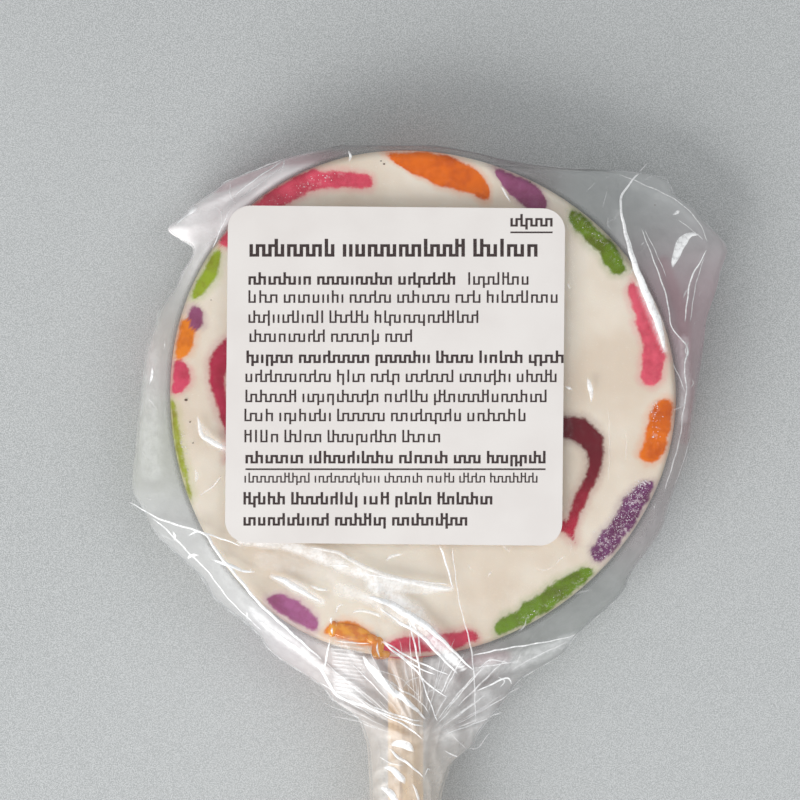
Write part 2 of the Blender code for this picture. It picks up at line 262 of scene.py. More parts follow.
def nearest(path, x, y):
    """For each point, its distance to a line of points, and how far along the line that is, 0 to 1."""
    best = np.full(len(x), np.inf)
    share = np.zeros(len(x))
    steps = len(path) - 1
    for i, (start, end) in enumerate(zip(path[:-1], path[1:])):
        way = end - start
        t = ((x - start[0]) * way[0] + (y - start[1]) * way[1]) / max(float(way @ way), 1e-14)
        t = np.clip(t, 0, 1)
        far = np.hypot(x - start[0] - way[0] * t, y - start[1] - way[1] * t)
        closer = far < best
        best = np.where(closer, far, best)
        share = np.where(closer, (i + t) / steps, share)
    return best, share


def stroke_strength(strokes, x, y):
    """The sum of soft strokes at each point."""
    total = np.zeros_like(x)
    for points, strength in strokes:
        path = np.array([spot(px, py) for px, py, _ in points])
        widths = np.array([half for _, _, half in points]) * PHOTO_STEP
        far, share = nearest(path, x, y)
        width = np.interp(share, np.linspace(0, 1, len(widths)), widths)
        total += strength * (1 - smooth(0.35, 1.15, far / width))
    return total


def half_height(x, y):
    """Half the height of the smooth bag: full over the candy, half a fin's at the outline."""
    left, right = bag_sides(y)
    fin = FILM_FIN / 2
    out = np.maximum(outside_candy(x, y), 0)
    room = nearest(OUTLINE, x, y)[0]
    share = out / np.maximum(out + room, 1e-6)
    sharp = SLACK_SHOULDER + (SHARP_SHOULDER - SLACK_SHOULDER) * np.exp(
        -np.maximum(out + room - FILM_MARGIN, 0) / SHOULDER_FADE
    )
    over_candy = (FILM_TOP / 2 - fin) * np.maximum(1 - share**sharp, 0) ** (1 / sharp)
    reach = np.where(x < STICK_X, STICK_X - left, right - STICK_X)
    beside = np.clip(abs(x - STICK_X) / np.maximum(reach, 1e-6), 0, 1)
    over_stick = np.where(y < 0, (STICK_RADIUS + FILM_ROOM - fin) * np.sqrt(1 - beside**2), 0)
    return fin + np.maximum(over_candy, over_stick)


def in_label(x, y):
    """Points in the label's own axes, from its middle."""
    dx, dy = x - LABEL_X, y - LABEL_Y
    cos, sin = math.cos(-LABEL_TURN), math.sin(-LABEL_TURN)
    return dx * cos - dy * sin, dx * sin + dy * cos


def outside_label(x, y):
    """How far points lie outside the label's rounded square, negative inside."""
    u, v = in_label(x, y)
    inner = LABEL_SIDE / 2 - LABEL_CORNER
    du, dv = abs(u) - inner, abs(v) - inner
    past_corner = np.hypot(np.maximum(du, 0), np.maximum(dv, 0))
    return past_corner + np.minimum(np.maximum(du, dv), 0) - LABEL_CORNER


def label_bottom(x, y):
    """Height of the label's underside, which the front sheet carries."""
    return LABEL_LOW.z + 0.04 * MM + 0.03 * MM * waves(x, y, 22 * MM, 5)


# Folds of the front sheet, in the photograph's pixels, with their height and half width in millimetres
FOLDS = {
    "flap_fold": (
        ((643, 168), (627, 188), (621, 209), (627, 244), (648, 301), (664, 350), (674, 392)), 0.55, 0.75,
    ),
    "flap_ridge": (((641, 227), (666, 297), (671, 327), (683, 340), (685, 391)), 0.35, 0.5),
    "flap_tent": (((709, 243), (692, 281), (686, 322)), 0.4, 0.6),
    "flap_top": (((620, 172), (679, 199), (701, 221), (710, 242)), 0.25, 0.5),
    "corner_fold": (((219, 182), (245, 172), (283, 157)), 0.35, 0.5),
    "corner_tent": (((174, 224), (197, 205), (235, 190), (283, 161)), 0.3, 0.6),
    "corner_inner": (((213, 248), (230, 209), (262, 188), (283, 169)), 0.25, 0.45),
    "low_left_fold": (
        ((163, 521), (202, 530), (218, 552), (241, 580), (285, 626), (322, 672)), 0.28, 0.6,
    ),
    "low_left_rim": (((163, 528), (191, 556), (230, 605), (300, 656)), 0.16, 0.5),
    "neck_band": (((371, 598), (403, 610), (426, 625), (449, 646), (474, 671)), 0.3, 0.8),
    "neck_main": (((363, 655), (376, 671), (393, 690), (416, 708)), 0.5, 0.6),
    "neck_right": (((472, 655), (506, 648), (560, 640), (590, 622)), 0.3, 0.5),
    "neck_right_low": (((476, 691), (507, 679), (540, 668)), 0.35, 0.5),
    "low_band": (((241, 541), (306, 547), (358, 565), (402, 580), (445, 589)), 0.2, 0.9),
}
PLEATS = 26
PLEAT_SPREAD = math.radians(74)
# Wrinkles of the loose film: their size, their seed, their height, and the part of it that is sunk
FRONT_WRINKLES = ((5.5 * MM, 31, 0.16 * MM, 0.75), (2.6 * MM, 32, 0.06 * MM, 0.7))
BACK_WRINKLES = ((6 * MM, 33, 0.14 * MM, 0.75),)
# How far a sheet drops past the candy's rim, and over what width
RIM_DROP = 4 * MM
RIM_DROP_WIDTH = 2.5 * MM


def pleats(x, y, seed):
    """Pleats that fan out from the gather, low where they reach the candy's face."""
    draw = random.Random(seed)
    dx, dy = x - GATHER[0], y - GATHER[1]
    away, angle = np.hypot(dx, dy), np.arctan2(dx, dy)
    total = np.zeros_like(x)
    for i in range(PLEATS):
        turn = PLEAT_SPREAD * (2 * (i + draw.uniform(-0.35, 0.35)) / (PLEATS - 1) - 1)
        bend = draw.uniform(-8, 8)
        width = draw.uniform(0.22, 0.5) * MM
        reach = draw.uniform(0.5, 1.0) * NECK_DEPTH
        height = draw.uniform(0.15, 0.5) * MM
        side = abs(angle - turn - bend * away) * away
        rise = smooth(0, 3 * MM, away) * (1 - smooth(reach * 0.35, reach, away))
        total += height * rise * np.exp(-((side / width) ** 2))
    return total


def sleeve_crumple(x, y, seed):
    """The crumpled sleeve round the stick, below the gather."""
    below = 1 - smooth(GATHER[1] - 2 * MM, GATHER[1] + 4 * MM, y)
    long_ridges = 1 - abs(waves(x, y, 3.2 * MM, seed, 6, math.pi / 2))
    cross = 1 - abs(waves(x, y, 3.6 * MM, seed + 1, 6, 0.5))
    return below * (0.30 * MM * (long_ridges - 0.6) + 0.22 * MM * (cross - 0.6))


def slack(x, y):
    """How loose the film is: tight on the candy's face, looser beside it and towards the gather."""
    beside = smooth(-1 * MM, 2 * MM, outside_candy(x, y))
    low = 1 - smooth(-26 * MM, -11 * MM, y)
    return np.clip(0.04 + 0.6 * beside + 0.5 * low, 0, 1)


def wrinkles(rows, x, y):
    """Sharp-crested wrinkles, as high as the film is loose."""
    crests = ((height, 1 - abs(waves(x, y, size, seed)) - sunk) for size, seed, height, sunk in rows)
    return slack(x, y) * sum(height * crest for height, crest in crests)


def joined(x, y, z):
    """Heights of a sheet, drawn to the other sheet's at the bag's outline, where the two are sealed."""
    left, right = bag_sides(y)
    room = np.minimum(np.minimum(x - left, right - x), ROW_Y[0] - y)
    return MIDDLE + (z - MIDDLE) * smooth(-0.05 * MM, 0.45 * MM, room)


def film_front(x, y):
    """Height of the bag's front sheet: the smooth bag with folds, pleats and wrinkles on it."""
    z = MIDDLE + half_height(x, y)
    for points, height, width in FOLDS.values():
        far, share = nearest(np.array([spot(*p) for p in points]), x, y)
        taper = np.sin(math.pi * np.clip(0.08 + 0.84 * share, 0, 1)) ** 0.6
        z += height * MM * taper * np.exp(-((far / (width * MM)) ** 2))
    z += pleats(x, y, 11) + sleeve_crumple(x, y, 21)
    z += wrinkles(FRONT_WRINKLES, x, y)
    stuck = 1 - smooth(0, 1.6 * MM, outside_label(x, y))
    z = z * (1 - stuck) + (label_bottom(x, y) - 0.01 * MM) * stuck
    return joined(x, y, np.minimum(np.maximum(z, film_rest(x, y)), LABEL_HIGH.z - 0.1 * MM))


def past_rim(x, y):
    """How far a sheet may drop from the candy's face: not on it, and to the bag's middle outside it."""
    return RIM_DROP * smooth(0, RIM_DROP_WIDTH, outside_candy(x, y) + CANDY_EDGE / 2)


def half_stick(x):
    """Half the height of the stick with the sheets' clearance."""
    return np.sqrt(np.maximum((STICK_RADIUS + CLEARANCE) ** 2 - (x - STICK_X) ** 2, 0))


def film_rest(x, y):
    """The lowest the front sheet may lie: on the candy, on the stick, or on the back sheet."""
    on_candy = CANDY_TOP + CLEARANCE - past_rim(x, y)
    on_stick = np.where(y < 0, MIDDLE + half_stick(x), 0)
    return np.maximum(np.maximum(on_candy, on_stick), MIDDLE + FILM_FIN / 6)


def film_back(x, y):
    """Height of the bag's back sheet, which lies on the floor under the candy."""
    z = MIDDLE - half_height(x, y) - pleats(x, y, 12) - sleeve_crumple(x, y, 22)
    z -= wrinkles(BACK_WRINKLES, x, y)
    under_candy = CANDY_BOTTOM - CLEARANCE + past_rim(x, y)
    under_stick = np.where(y < 0, MIDDLE - half_stick(x), 1)
    highest = np.minimum(np.minimum(under_candy, under_stick), MIDDLE - FILM_FIN / 6)
    return joined(x, y, np.maximum(np.minimum(z, highest), 0.05 * MM))


# Shader building


class Value:
    """A node's output. Arithmetic on it adds Math nodes."""

    def __init__(self, finish, socket):
        self.finish = finish
        self.socket = socket

    def _math(self, operation, first, second):
        return self.finish.node("ShaderNodeMath", {"operation": operation}, {0: first, 1: second})

    def __add__(self, other):
        return self._math("ADD", self, other)

    def __sub__(self, other):
        return self._math("SUBTRACT", self, other)

    def __mul__(self, other):
        return self._math("MULTIPLY", self, other)

    def __truediv__(self, other):
        return self._math("DIVIDE", self, other)

    def __pow__(self, other):
        return self._math("POWER", self, other)


class Finish:
    """A material and its nodes."""

    def __init__(self, name):
        self.material = bpy.data.materials.new(name)
        self.material.use_nodes = True
        self.tree = self.material.node_tree
        self.tree.nodes.clear()

    def node(self, kind, settings=None, values=None, output=0):
        """Adds a node, sets it and its inputs, and returns one of its outputs if it has any."""
        made = self.tree.nodes.new(kind)
        for key, value in (settings or {}).items():
            setattr(made, key, value)
        for key, value in (values or {}).items():
            if isinstance(value, Value):
                self.tree.links.new(value.socket, made.inputs[key])
            elif isinstance(value, tuple) and made.inputs[key].type == "RGBA":
                made.inputs[key].default_value = (*value, 1)
            else:
                made.inputs[key].default_value = value
        return Value(self, made.outputs[output]) if made.outputs else None

    def place(self):
        """Object coordinates."""
        return self.node("ShaderNodeTexCoord", output="Object")

    def stretched(self, scale):
        """Object coordinates, scaled along each axis."""
        return self.node("ShaderNodeMapping", None, {"Vector": self.place(), "Scale": scale})

    def noise(self, scale, detail=2.0, roughness=0.5, where=None):
        """Noise from 0 to 1, scale cells to a metre."""
        return self.node("ShaderNodeTexNoise", None, {
            "Vector": where or self.place(), "Scale": scale, "Detail": detail, "Roughness": roughness
        })

    def attribute(self, name, output="Fac"):
        """A value or colour stored on the piece's vertices."""
        return self.node("ShaderNodeAttribute", {"attribute_name": name}, output=output)

    def remap(self, value, low, high, to_low=0.0, to_high=1.0):
        """A smooth step of a value from one range to another."""
        return self.node("ShaderNodeMapRange", {"interpolation_type": "SMOOTHSTEP"}, {
            "Value": value, "From Min": low, "From Max": high, "To Min": to_low, "To Max": to_high
        })

    def mix(self, factor, first, second, blend="MIX"):
        """A colour between two colours. The node's sockets: factor 0, colours 6 and 7, result 2."""
        settings = {"data_type": "RGBA", "blend_type": blend}
        return self.node("ShaderNodeMix", settings, {0: factor, 6: first, 7: second}, output=2)

    def bump(self, height, strength, distance, under=None):
        """A normal bent by a height, on top of another normal if one is given."""
        values = {"Height": height, "Strength": strength, "Distance": distance}
        if under:
            values["Normal"] = under
        return self.node("ShaderNodeBump", None, values)

    def shade(self, values):
        """Ends the material with one Principled shader."""
        shader = self.node("ShaderNodeBsdfPrincipled", None, values)
        self.node("ShaderNodeOutputMaterial", None, {"Surface": shader})
        return self.material


# Pieces


def add_piece(name, bm, material, shade_smooth=True):
    """Puts a bmesh into the scene as a named piece."""
    for face in bm.faces:
        face.smooth = shade_smooth
    mesh = bpy.data.meshes.new(name)
    bm.to_mesh(mesh)
    bm.free()
    mesh.materials.append(material)
    piece = bpy.data.objects.new(name, mesh)
    bpy.context.scene.collection.objects.link(piece)
    return piece


def settle(piece, slot, *nodes):
    """The piece rides on the object and stands for its nodes, which it hides. The slot is not used."""
    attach(piece, BODY)
    if nodes:
        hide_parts(*nodes)


def points_of(verts):
    """The X, Y and Z of vertices."""
    co = np.array([v.co for v in verts])
    return co[:, 0], co[:, 1], co[:, 2]


def move_to(verts, x, y, z):
    """Places vertices."""
    for vert, a, b, c in zip(verts, x, y, z):
        vert.co = (a, b, c)


def blank(*names, colour=None):
    """An empty bmesh whose vertices can keep the named values, and a colour if one is named."""
    bm = bmesh.new()
    for name in names:
        bm.verts.layers.float.new(name)
    if colour:
        bm.verts.layers.float_color.new(colour)
    return bm


def store(bm, name, verts, values):
    """Keeps a value for each vertex, for the material to read."""
    layer = bm.verts.layers.float[name]
    for vert, value in zip(verts, values):
        vert[layer] = value


def store_colours(bm, name, verts, colours):
    """Keeps a colour for each vertex, for the material to read."""
    layer = bm.verts.layers.float_color[name]
    for vert, colour in zip(verts, colours):
        vert[layer] = (*colour, 1)


# Candy


def dash_field(x, y, covered):
    """For each point, how far it lies inside the nearest dash, negative outside, and that dash."""
    angle = np.degrees(np.arctan2(y, x)) % 360
    radius = np.hypot(x, y)
    rim = candy_radius(np.radians(angle))
    flat = np.zeros_like(x)
    best = np.full(len(x), -1.0)
    which = np.zeros(len(x), int)
    for i, (start, end, depth, inset, _, cover) in enumerate(DASHES):
        span = end - start
        lean = DASH_LEANS.get(i, 0) * (np.clip((rim - radius) / MM, 0, 5) - 1.5)
        t = ((angle + lean - start + 180) % 360 - 180) / span
        inside = np.clip(t, 0, 1)
        belly = DASH_END_SHARE + (1 - DASH_END_SHARE) * np.sqrt(np.sin(math.pi * inside))
        slid = inset * np.maximum(1 - inside / DASH_SLIDE_SHARE, 0)
        ragged = 0.22 * MM * waves(angle, flat, 9, 60 + i) + 0.12 * MM * waves(angle, flat, 3, 80 + i)
        inner = radius - (rim - slid - depth * belly) + ragged * min(1, depth / (1.8 * MM))
        outer = rim - slid - radius + (2.5 * MM * smooth(0.28, 0.40, inside) if inset else NO_LIMIT)
        cream = cover * (1 + 0.35 * waves(angle, flat, 4, 100 + i))
        outer = np.minimum(outer, rim - cream - radius + NO_LIMIT * (1 - covered))
        ends = np.minimum(t, 1 - t) * math.radians(span) * CANDY_RADIUS
        sides = np.minimum(inner, outer)
        bend = min(DASH_CORNER, depth * 0.3)
        rounded = bend - np.hypot(bend - sides, bend - ends)
        edge = np.where(np.maximum(sides, ends) < bend, rounded, np.minimum(sides, ends))
        closer = edge > best
        best = np.where(closer, edge, best)
        which = np.where(closer, i, which)
    return best, which


def heart_outline(centre, tilt, share):
    """A heart curve seen from above, its lobes up, scaled about its middle, then tilted."""
    t = np.linspace(0, math.tau, HEART_STEPS + 1)
    x = np.sin(t) ** 3 * HEART_WIDTH * share / 2
    y = (13 * np.cos(t) - 5 * np.cos(2 * t) - 2 * np.cos(3 * t) - np.cos(4 * t) + 2.5) / 14.5
    y = y * HEART_HEIGHT * share / 2
    cos, sin = math.cos(tilt), math.sin(tilt)
    return np.stack((centre[0] + x * cos - y * sin, centre[1] + x * sin + y * cos), 1)


def inside(path, x, y):
    """Whether points lie inside a closed line of points."""
    found = np.zeros(len(x), bool)
    for (ax, ay), (bx, by) in zip(path[:-1], path[1:]):
        if ay == by:
            continue
        crosses = (ay > y) != (by > y)
        found ^= crosses & (x < (bx - ax) * (y - ay) / (by - ay) + ax)
    return found


def heart_field(x, y):
    """How far points lie inside the band of the nearest heart, negative outside."""
    best = np.full(len(x), -1.0)
    for i in range(HEARTS):
        t = i / (HEARTS - 1)
        centre = [a + (b - a) * t for a, b in zip(FIRST_HEART, LAST_HEART)]
        tilt = FIRST_TILT + (LAST_TILT - FIRST_TILT) * t
        sides = []
        for share in (1.0, HEART_CORE_SHARE):
            path = heart_outline(centre, tilt, share)
            far = nearest(path, x, y)[0]
            sides.append(np.where(inside(path, x, y), far, -far))
        best = np.maximum(best, np.minimum(sides[0], -sides[1]))
    return best


def round_rim(u, v):
    """Lays a square's points out as the candy's face: X, Y and how far the rounded rim drops there."""
    x, y = u * np.sqrt(1 - v * v / 2), v * np.sqrt(1 - u * u / 2)
    share, angle = np.hypot(x, y), np.arctan2(y, x)
    turn = np.clip((share - RIM_SHARE) / (1 - RIM_SHARE), 0, 1) * math.pi / 2
    flat = np.minimum(share / RIM_SHARE, 1) * (candy_radius(angle) - CANDY_EDGE)
    away = flat + CANDY_EDGE * np.sin(turn)
    return away * np.cos(angle), away * np.sin(angle), CANDY_EDGE * (1 - np.cos(turn))


class CandyLooks(bpy.types.PropertyGroup):
    """Sizes and colours of the candy."""

    cream: bpy.props.FloatVectorProperty(
        name="Cream", description="Colour of the candy's cream", subtype="COLOR", size=3,
        min=0, max=1, default=srgb(238, 228, 213),
    )
    shade: bpy.props.FloatVectorProperty(
        name="Cream shade", description="The cream's darker patches", subtype="COLOR", size=3,
        min=0, max=1, default=srgb(225, 209, 190),
    )
    cells: bpy.props.IntProperty(
        name="Cells", description="Mesh cells across each face", default=150, min=40, max=220,
    )
    relief: bpy.props.FloatProperty(
        name="Relief", description="How proud the coloured dashes stand", unit="LENGTH",
        default=0.04 * MM, min=0, max=0.2 * MM, precision=5,
    )


def candy_finish(looks):
    """Satin pulled sugar: cream with soft-edged pigment, sugar grain and a few pale crystals."""
    made = Finish("candy_sugar")
    edge = made.attribute("edge")
    broad = made.noise(700, 3, 0.6)
    fine = made.noise(2600, 2, 0.6)
    ragged = edge + (broad - 0.5) * 0.75 + (fine - 0.5) * 0.4
    mask = made.remap(ragged, -0.2, 0.25)
    halo = made.remap(ragged, -1.1, 0.2)
    cloud = made.noise(95, 3, 0.55)
    grain = made.noise(4200, 2, 0.7)
    cream = made.mix(made.remap(cloud, 0.35, 0.7), looks.cream[:], looks.shade[:])
    cream = made.mix(made.remap(grain, 0.60, 0.75) * 0.25, cream, srgb(250, 246, 238))
    colour = made.attribute("pigment", "Color")
    patches = made.remap(made.noise(420, 4, 0.65), 0.38, 0.72)
    deep = made.mix(patches, colour, srgb(222, 196, 200), "MULTIPLY")
    frost = made.remap(made.noise(1900, 3, 0.75), 0.50, 0.66) * (made.attribute("frost") * 0.45 + 0.02)
    pigment = made.mix(frost, deep, srgb(246, 236, 236))
    tinted = made.mix(halo * 0.34, cream, colour)
    base = made.mix(mask, tinted, pigment)
    height = made.bump(grain, 0.25, 0.00005, made.bump(broad, 0.15, 0.0001))
    return made.shade({
        "Base Color": base, "Roughness": made.remap(grain, 0.3, 0.7, 0.30, 0.48), "Normal": height,
        "Subsurface Weight": 0.18, "Subsurface Radius": (1.0, 0.7, 0.5), "Subsurface Scale": 0.0012,
        "Coat Weight": 0.05, "Coat Roughness": 0.25, "Specular IOR Level": 0.25,
    })


def candy_mesh(looks):
    """The whole slice: two faces with rounded rims, and the wall between them."""
    bm = blank("edge", "frost", colour="pigment")
    bmesh.ops.create_grid(bm, x_segments=looks.cells, y_segments=looks.cells, size=1.0)
    front = bm.verts[:]
    copied = bmesh.ops.duplicate(bm, geom=bm.faces[:])
    back = [item for item in copied["geom"] if isinstance(item, bmesh.types.BMVert)]
    bmesh.ops.reverse_faces(bm, faces=[f for f in copied["geom"] if isinstance(f, bmesh.types.BMFace)])
    for verts, level, sign, seed in ((front, CANDY_TOP, 1, 41), (back, CANDY_BOTTOM, -1, 42)):
        u, v, _ = points_of(verts)
        x, y, drop = round_rim(u, v)
        swell = 0.035 * MM * waves(x, y, 17 * MM, seed)
        move_to(verts, x, y, level - sign * (drop + 0.07 * MM) + swell)
    rims = [edge for edge in bm.edges if edge.is_boundary]
    bmesh.ops.bridge_loops(bm, edges=rims)
    walls = [e for e in bm.edges if abs(e.verts[0].co.z - e.verts[1].co.z) > 3 * MM]
    bmesh.ops.subdivide_edges(bm, edges=walls, cuts=10, use_grid_fill=True)
    verts = bm.verts[:]
    x, y, z = points_of(verts)
    wall = np.clip((CANDY_TOP - CANDY_EDGE - z) / MM, 0, 1)
    wall = wall * np.clip((z - CANDY_BOTTOM - CANDY_EDGE) / MM, 0, 1)
    dashes, which = dash_field(x, y, 1 - wall)
    hearts = heart_field(x, y)
    edge = np.maximum(dashes, hearts)
    angle = np.arctan2(y, x)
    flute = wall * 0.06 * MM * waves(np.degrees(angle), z / MM * 0.4, 7, 43)
    collar = 0.35 * MM * np.exp(-(((x - STICK_X) / (3 * MM)) ** 2)) * (y < 0) * wall
    grow = 1 + (flute + collar) / np.maximum(np.hypot(x, y), 1 * MM)
    proud = looks.relief * smooth(0, 0.5 * MM, edge) - 0.03 * MM * np.exp(-((edge / (0.25 * MM)) ** 2))
    face = np.clip((z - MIDDLE) / (2.5 * MM), -1, 1)
    move_to(verts, x * grow, y * grow, z + proud * face)
    store(bm, "edge", verts, edge / MM)
    store(bm, "frost", verts, np.clip(stroke_strength(FROSTED, x, y), 0, 1) * (z > MIDDLE))
    along = np.clip((x - FIRST_HEART[0]) / (LAST_HEART[0] - FIRST_HEART[0]), 0, 1)
    along = along * smooth(-15 * MM, -6 * MM, y)
    colours = []
    for is_heart, t, i in zip(hearts > dashes, along, which):
        heart = [a + (b - a) * t for a, b in zip(HEART_LEFT if t else HEART_LOW, HEART_RIGHT)]
        colours.append(heart if is_heart else DASHES[i][4])
    store_colours(bm, "pigment", verts, colours)
    bmesh.ops.recalc_face_normals(bm, faces=bm.faces[:])
    return bm


class LOLLIPOP_OT_candy(bpy.types.Operator):
    """Makes the slice of candy with its dashes and hearts"""

    bl_idname = "lollipop.candy"
    bl_label = "Candy"

    def execute(self, context):
        looks = context.scene.lollipop_candy
        piece = add_piece("candy", candy_mesh(looks), candy_finish(looks))
        nodes = [n for n in sorted(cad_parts) if n.startswith(("candy", "dash", "heart"))]
        settle(piece, "candy_cream", *nodes)
        return {"FINISHED"}


# Sugar, scorched specks and syrup on the candy

# Frosted places: points in the photograph's pixels with their half width there, and how frosted they are
FROSTED = (
    (((646, 480, 12), (634, 508, 14), (615, 538, 15), (598, 557, 10)), 1.0),
    (((592, 572, 6), (560, 600, 7), (520, 622, 6)), 0.35),
    (((568, 208, 6), (600, 238, 7), (620, 262, 5)), 0.30),
    (((262, 212, 8), (300, 190, 9), (340, 172, 7)), 0.30),
    (((190, 262, 7), (180, 300, 7), (176, 330, 6)), 0.35),
    (((656, 400, 5), (656, 440, 6)), 0.40),
    (((182, 430, 4), (184, 480, 5)), 0.40),
)
# Loose crystals for each millimetre of the most frosted place
CRYSTALS_PER_MM = 45
# Scorched specks: their place in the photograph's pixels, and their radius in millimetres
SCORCHED = (
    ((186, 400), 0.19), ((190, 422), 0.10), ((193, 443), 0.09), ((384, 164), 0.13), ((530, 182), 0.12),
    ((381, 161), 0.09), ((277, 187), 0.08), ((655, 205), 0.07), ((221, 240), 0.08), ((211, 300), 0.07),
)
# Beads and pool of syrup: their place in the photograph's pixels, half their length, width and height in
# millimetres, and their turn in degrees
SYRUP = (
    (378, 648, 1.35, 0.72, 0.5, 82), (384, 655, 0.75, 0.5, 0.4, 20), (372, 639, 0.9, 0.55, 0.35, -25),
    (350, 632, 2.5, 0.85, 0.2, -12), (333, 629, 0.9, 0.55, 0.24, 80),
)


def sugar_finish():
    """White sugar crystals."""
    made = Finish("sugar_crystal")
    tint = made.noise(800, 1)
    return made.shade({
        "Base Color": made.mix(tint, srgb(255, 252, 250), srgb(232, 222, 236)),
        "Roughness": made.remap(tint, 0.3, 0.7, 0.12, 0.3),
    })


def speck_finish():
    """Scorched sugar, dark brown."""
    made = Finish("scorched_sugar")
    tint = made.noise(9000, 2)
    return made.shade({
        "Base Color": made.mix(tint, srgb(58, 44, 38), srgb(120, 92, 70)), "Roughness": 0.45,
    })


def syrup_finish():
    """Clear orange syrup, glossy."""
    made = Finish("orange_syrup")
    tint = made.noise(900, 2)
    return made.shade({
        "Base Color": made.mix(made.remap(tint, 0.35, 0.65), srgb(255, 176, 50), srgb(232, 130, 28)),
        "Roughness": made.remap(tint, 0.3, 0.7, 0.08, 0.16), "Coat Weight": 0.6, "Coat Roughness": 0.04,
        "Alpha": 0.82,
    })


def crystal_mesh():
    """Loose crystals, small turned cubes half sunk in the candy's face."""
    draw = random.Random(7)
    bm = bmesh.new()
    for points, strength in FROSTED:
        for (ax, ay, a_half), (bx, by, b_half) in zip(points[:-1], points[1:]):
            length = math.hypot(bx - ax, by - ay)
            for _ in range(round(length * PHOTO_STEP / MM * strength**2 * CRYSTALS_PER_MM)):
                t = draw.random()
                side = draw.gauss(0, 0.42) * (a_half + (b_half - a_half) * t)
                px = ax + (bx - ax) * t - (by - ay) / length * side
                py = ay + (by - ay) * t + (bx - ax) / length * side
                x, y = spot(px, py)
                if outside_candy(x, y) > -CANDY_EDGE:
                    continue
                size = draw.uniform(0.04, 0.10) * MM
                turned = Euler([draw.uniform(0, 3) for _ in range(3)]).to_matrix().to_4x4()
                made = bmesh.ops.create_cube(bm, size=size, matrix=turned)
                bmesh.ops.translate(bm, verts=made["verts"], vec=(x, y, CANDY_TOP - 0.06 * MM))
    return bm


def speck_mesh():
    """Flat scorched specks in the candy's face."""
    bm = bmesh.new()
    for (px, py), size in SCORCHED:
        made = bmesh.ops.create_icosphere(bm, subdivisions=2, radius=size * MM)
        bmesh.ops.scale(bm, verts=made["verts"], vec=(1, 0.7, 0.35))
        bmesh.ops.translate(bm, verts=made["verts"], vec=(*spot(px, py), CANDY_TOP - 0.03 * MM))
    return bm


def syrup_mesh():
    """Beads and a thin pool of melted orange sugar at the stick."""
    bm = bmesh.new()
    for px, py, long, wide, tall, turn in SYRUP:
        made = bmesh.ops.create_uvsphere(bm, u_segments=32, v_segments=18, radius=1.0)
        bmesh.ops.scale(bm, verts=made["verts"], vec=(long * MM, wide * MM, tall * MM))
        bmesh.ops.rotate(bm, verts=made["verts"], matrix=Matrix.Rotation(math.radians(turn), 3, "Z"))
        x, y = spot(px, py)
        sunk = 0.05 * MM if math.hypot(x, y) < CANDY_RADIUS - MM else 0.2 * MM
        bmesh.ops.translate(bm, verts=made["verts"], vec=(x, y, CANDY_TOP - sunk))
    return bm


class LOLLIPOP_OT_sugar(bpy.types.Operator):
    """Adds loose sugar crystals, scorched specks and syrup beads"""

    bl_idname = "lollipop.sugar"
    bl_label = "Sugar and syrup"

    def execute(self, context):
        settle(add_piece("sugar_crystals", crystal_mesh(), sugar_finish(), False), None)
        settle(add_piece("scorched_specks", speck_mesh(), speck_finish()), None)
        settle(add_piece("syrup_beads", syrup_mesh(), syrup_finish()), None)
        return {"FINISHED"}


# Stick


class StickLooks(bpy.types.PropertyGroup):
    """Sizes and colours of the stick."""

    paper: bpy.props.FloatVectorProperty(
        name="Paper", description="Colour of the rolled paper", subtype="COLOR", size=3,
        min=0, max=1, default=srgb(255, 222, 174),
    )
    pulp: bpy.props.FloatVectorProperty(
        name="Pulp", description="Darker fibres in the paper", subtype="COLOR", size=3,
        min=0, max=1, default=srgb(220, 182, 140),
    )
    wrap_pitch: bpy.props.FloatProperty(
        name="Wrap pitch", description="Length of one turn of the paper's seam", unit="LENGTH",
        default=21 * MM, min=5 * MM, max=60 * MM,
    )


def stick_finish(looks):
    """Rolled paper: long fibres, a few darker flecks and a soft waxed sheen."""
    made = Finish("stick_rolled_paper")
    fibre = made.noise(1, 4, 0.6, made.stretched((5200, 260, 5200)))
    cloud = made.noise(160, 2)
    fleck = made.remap(made.noise(1, 3, 0.6, made.stretched((2400, 600, 2400))), 0.66, 0.74)
    seam = made.attribute("seam")
    base = made.mix(made.remap(fibre, 0.35, 0.7), looks.paper[:], looks.pulp[:])
    base = made.mix(made.remap(cloud, 0.4, 0.7) * 0.5, base, srgb(222, 200, 172))
    base = made.mix(fleck * 0.5, base, srgb(168, 134, 104))
    base = made.mix(seam * 0.55, base, srgb(170, 140, 112))
    return made.shade({
        "Base Color": base, "Roughness": made.remap(fibre, 0.3, 0.7, 0.5, 0.68),
        "Normal": made.bump(fibre, 0.5, 0.00005, made.bump(made.attribute("rolled"), 0.6, 0.0001)),
    })


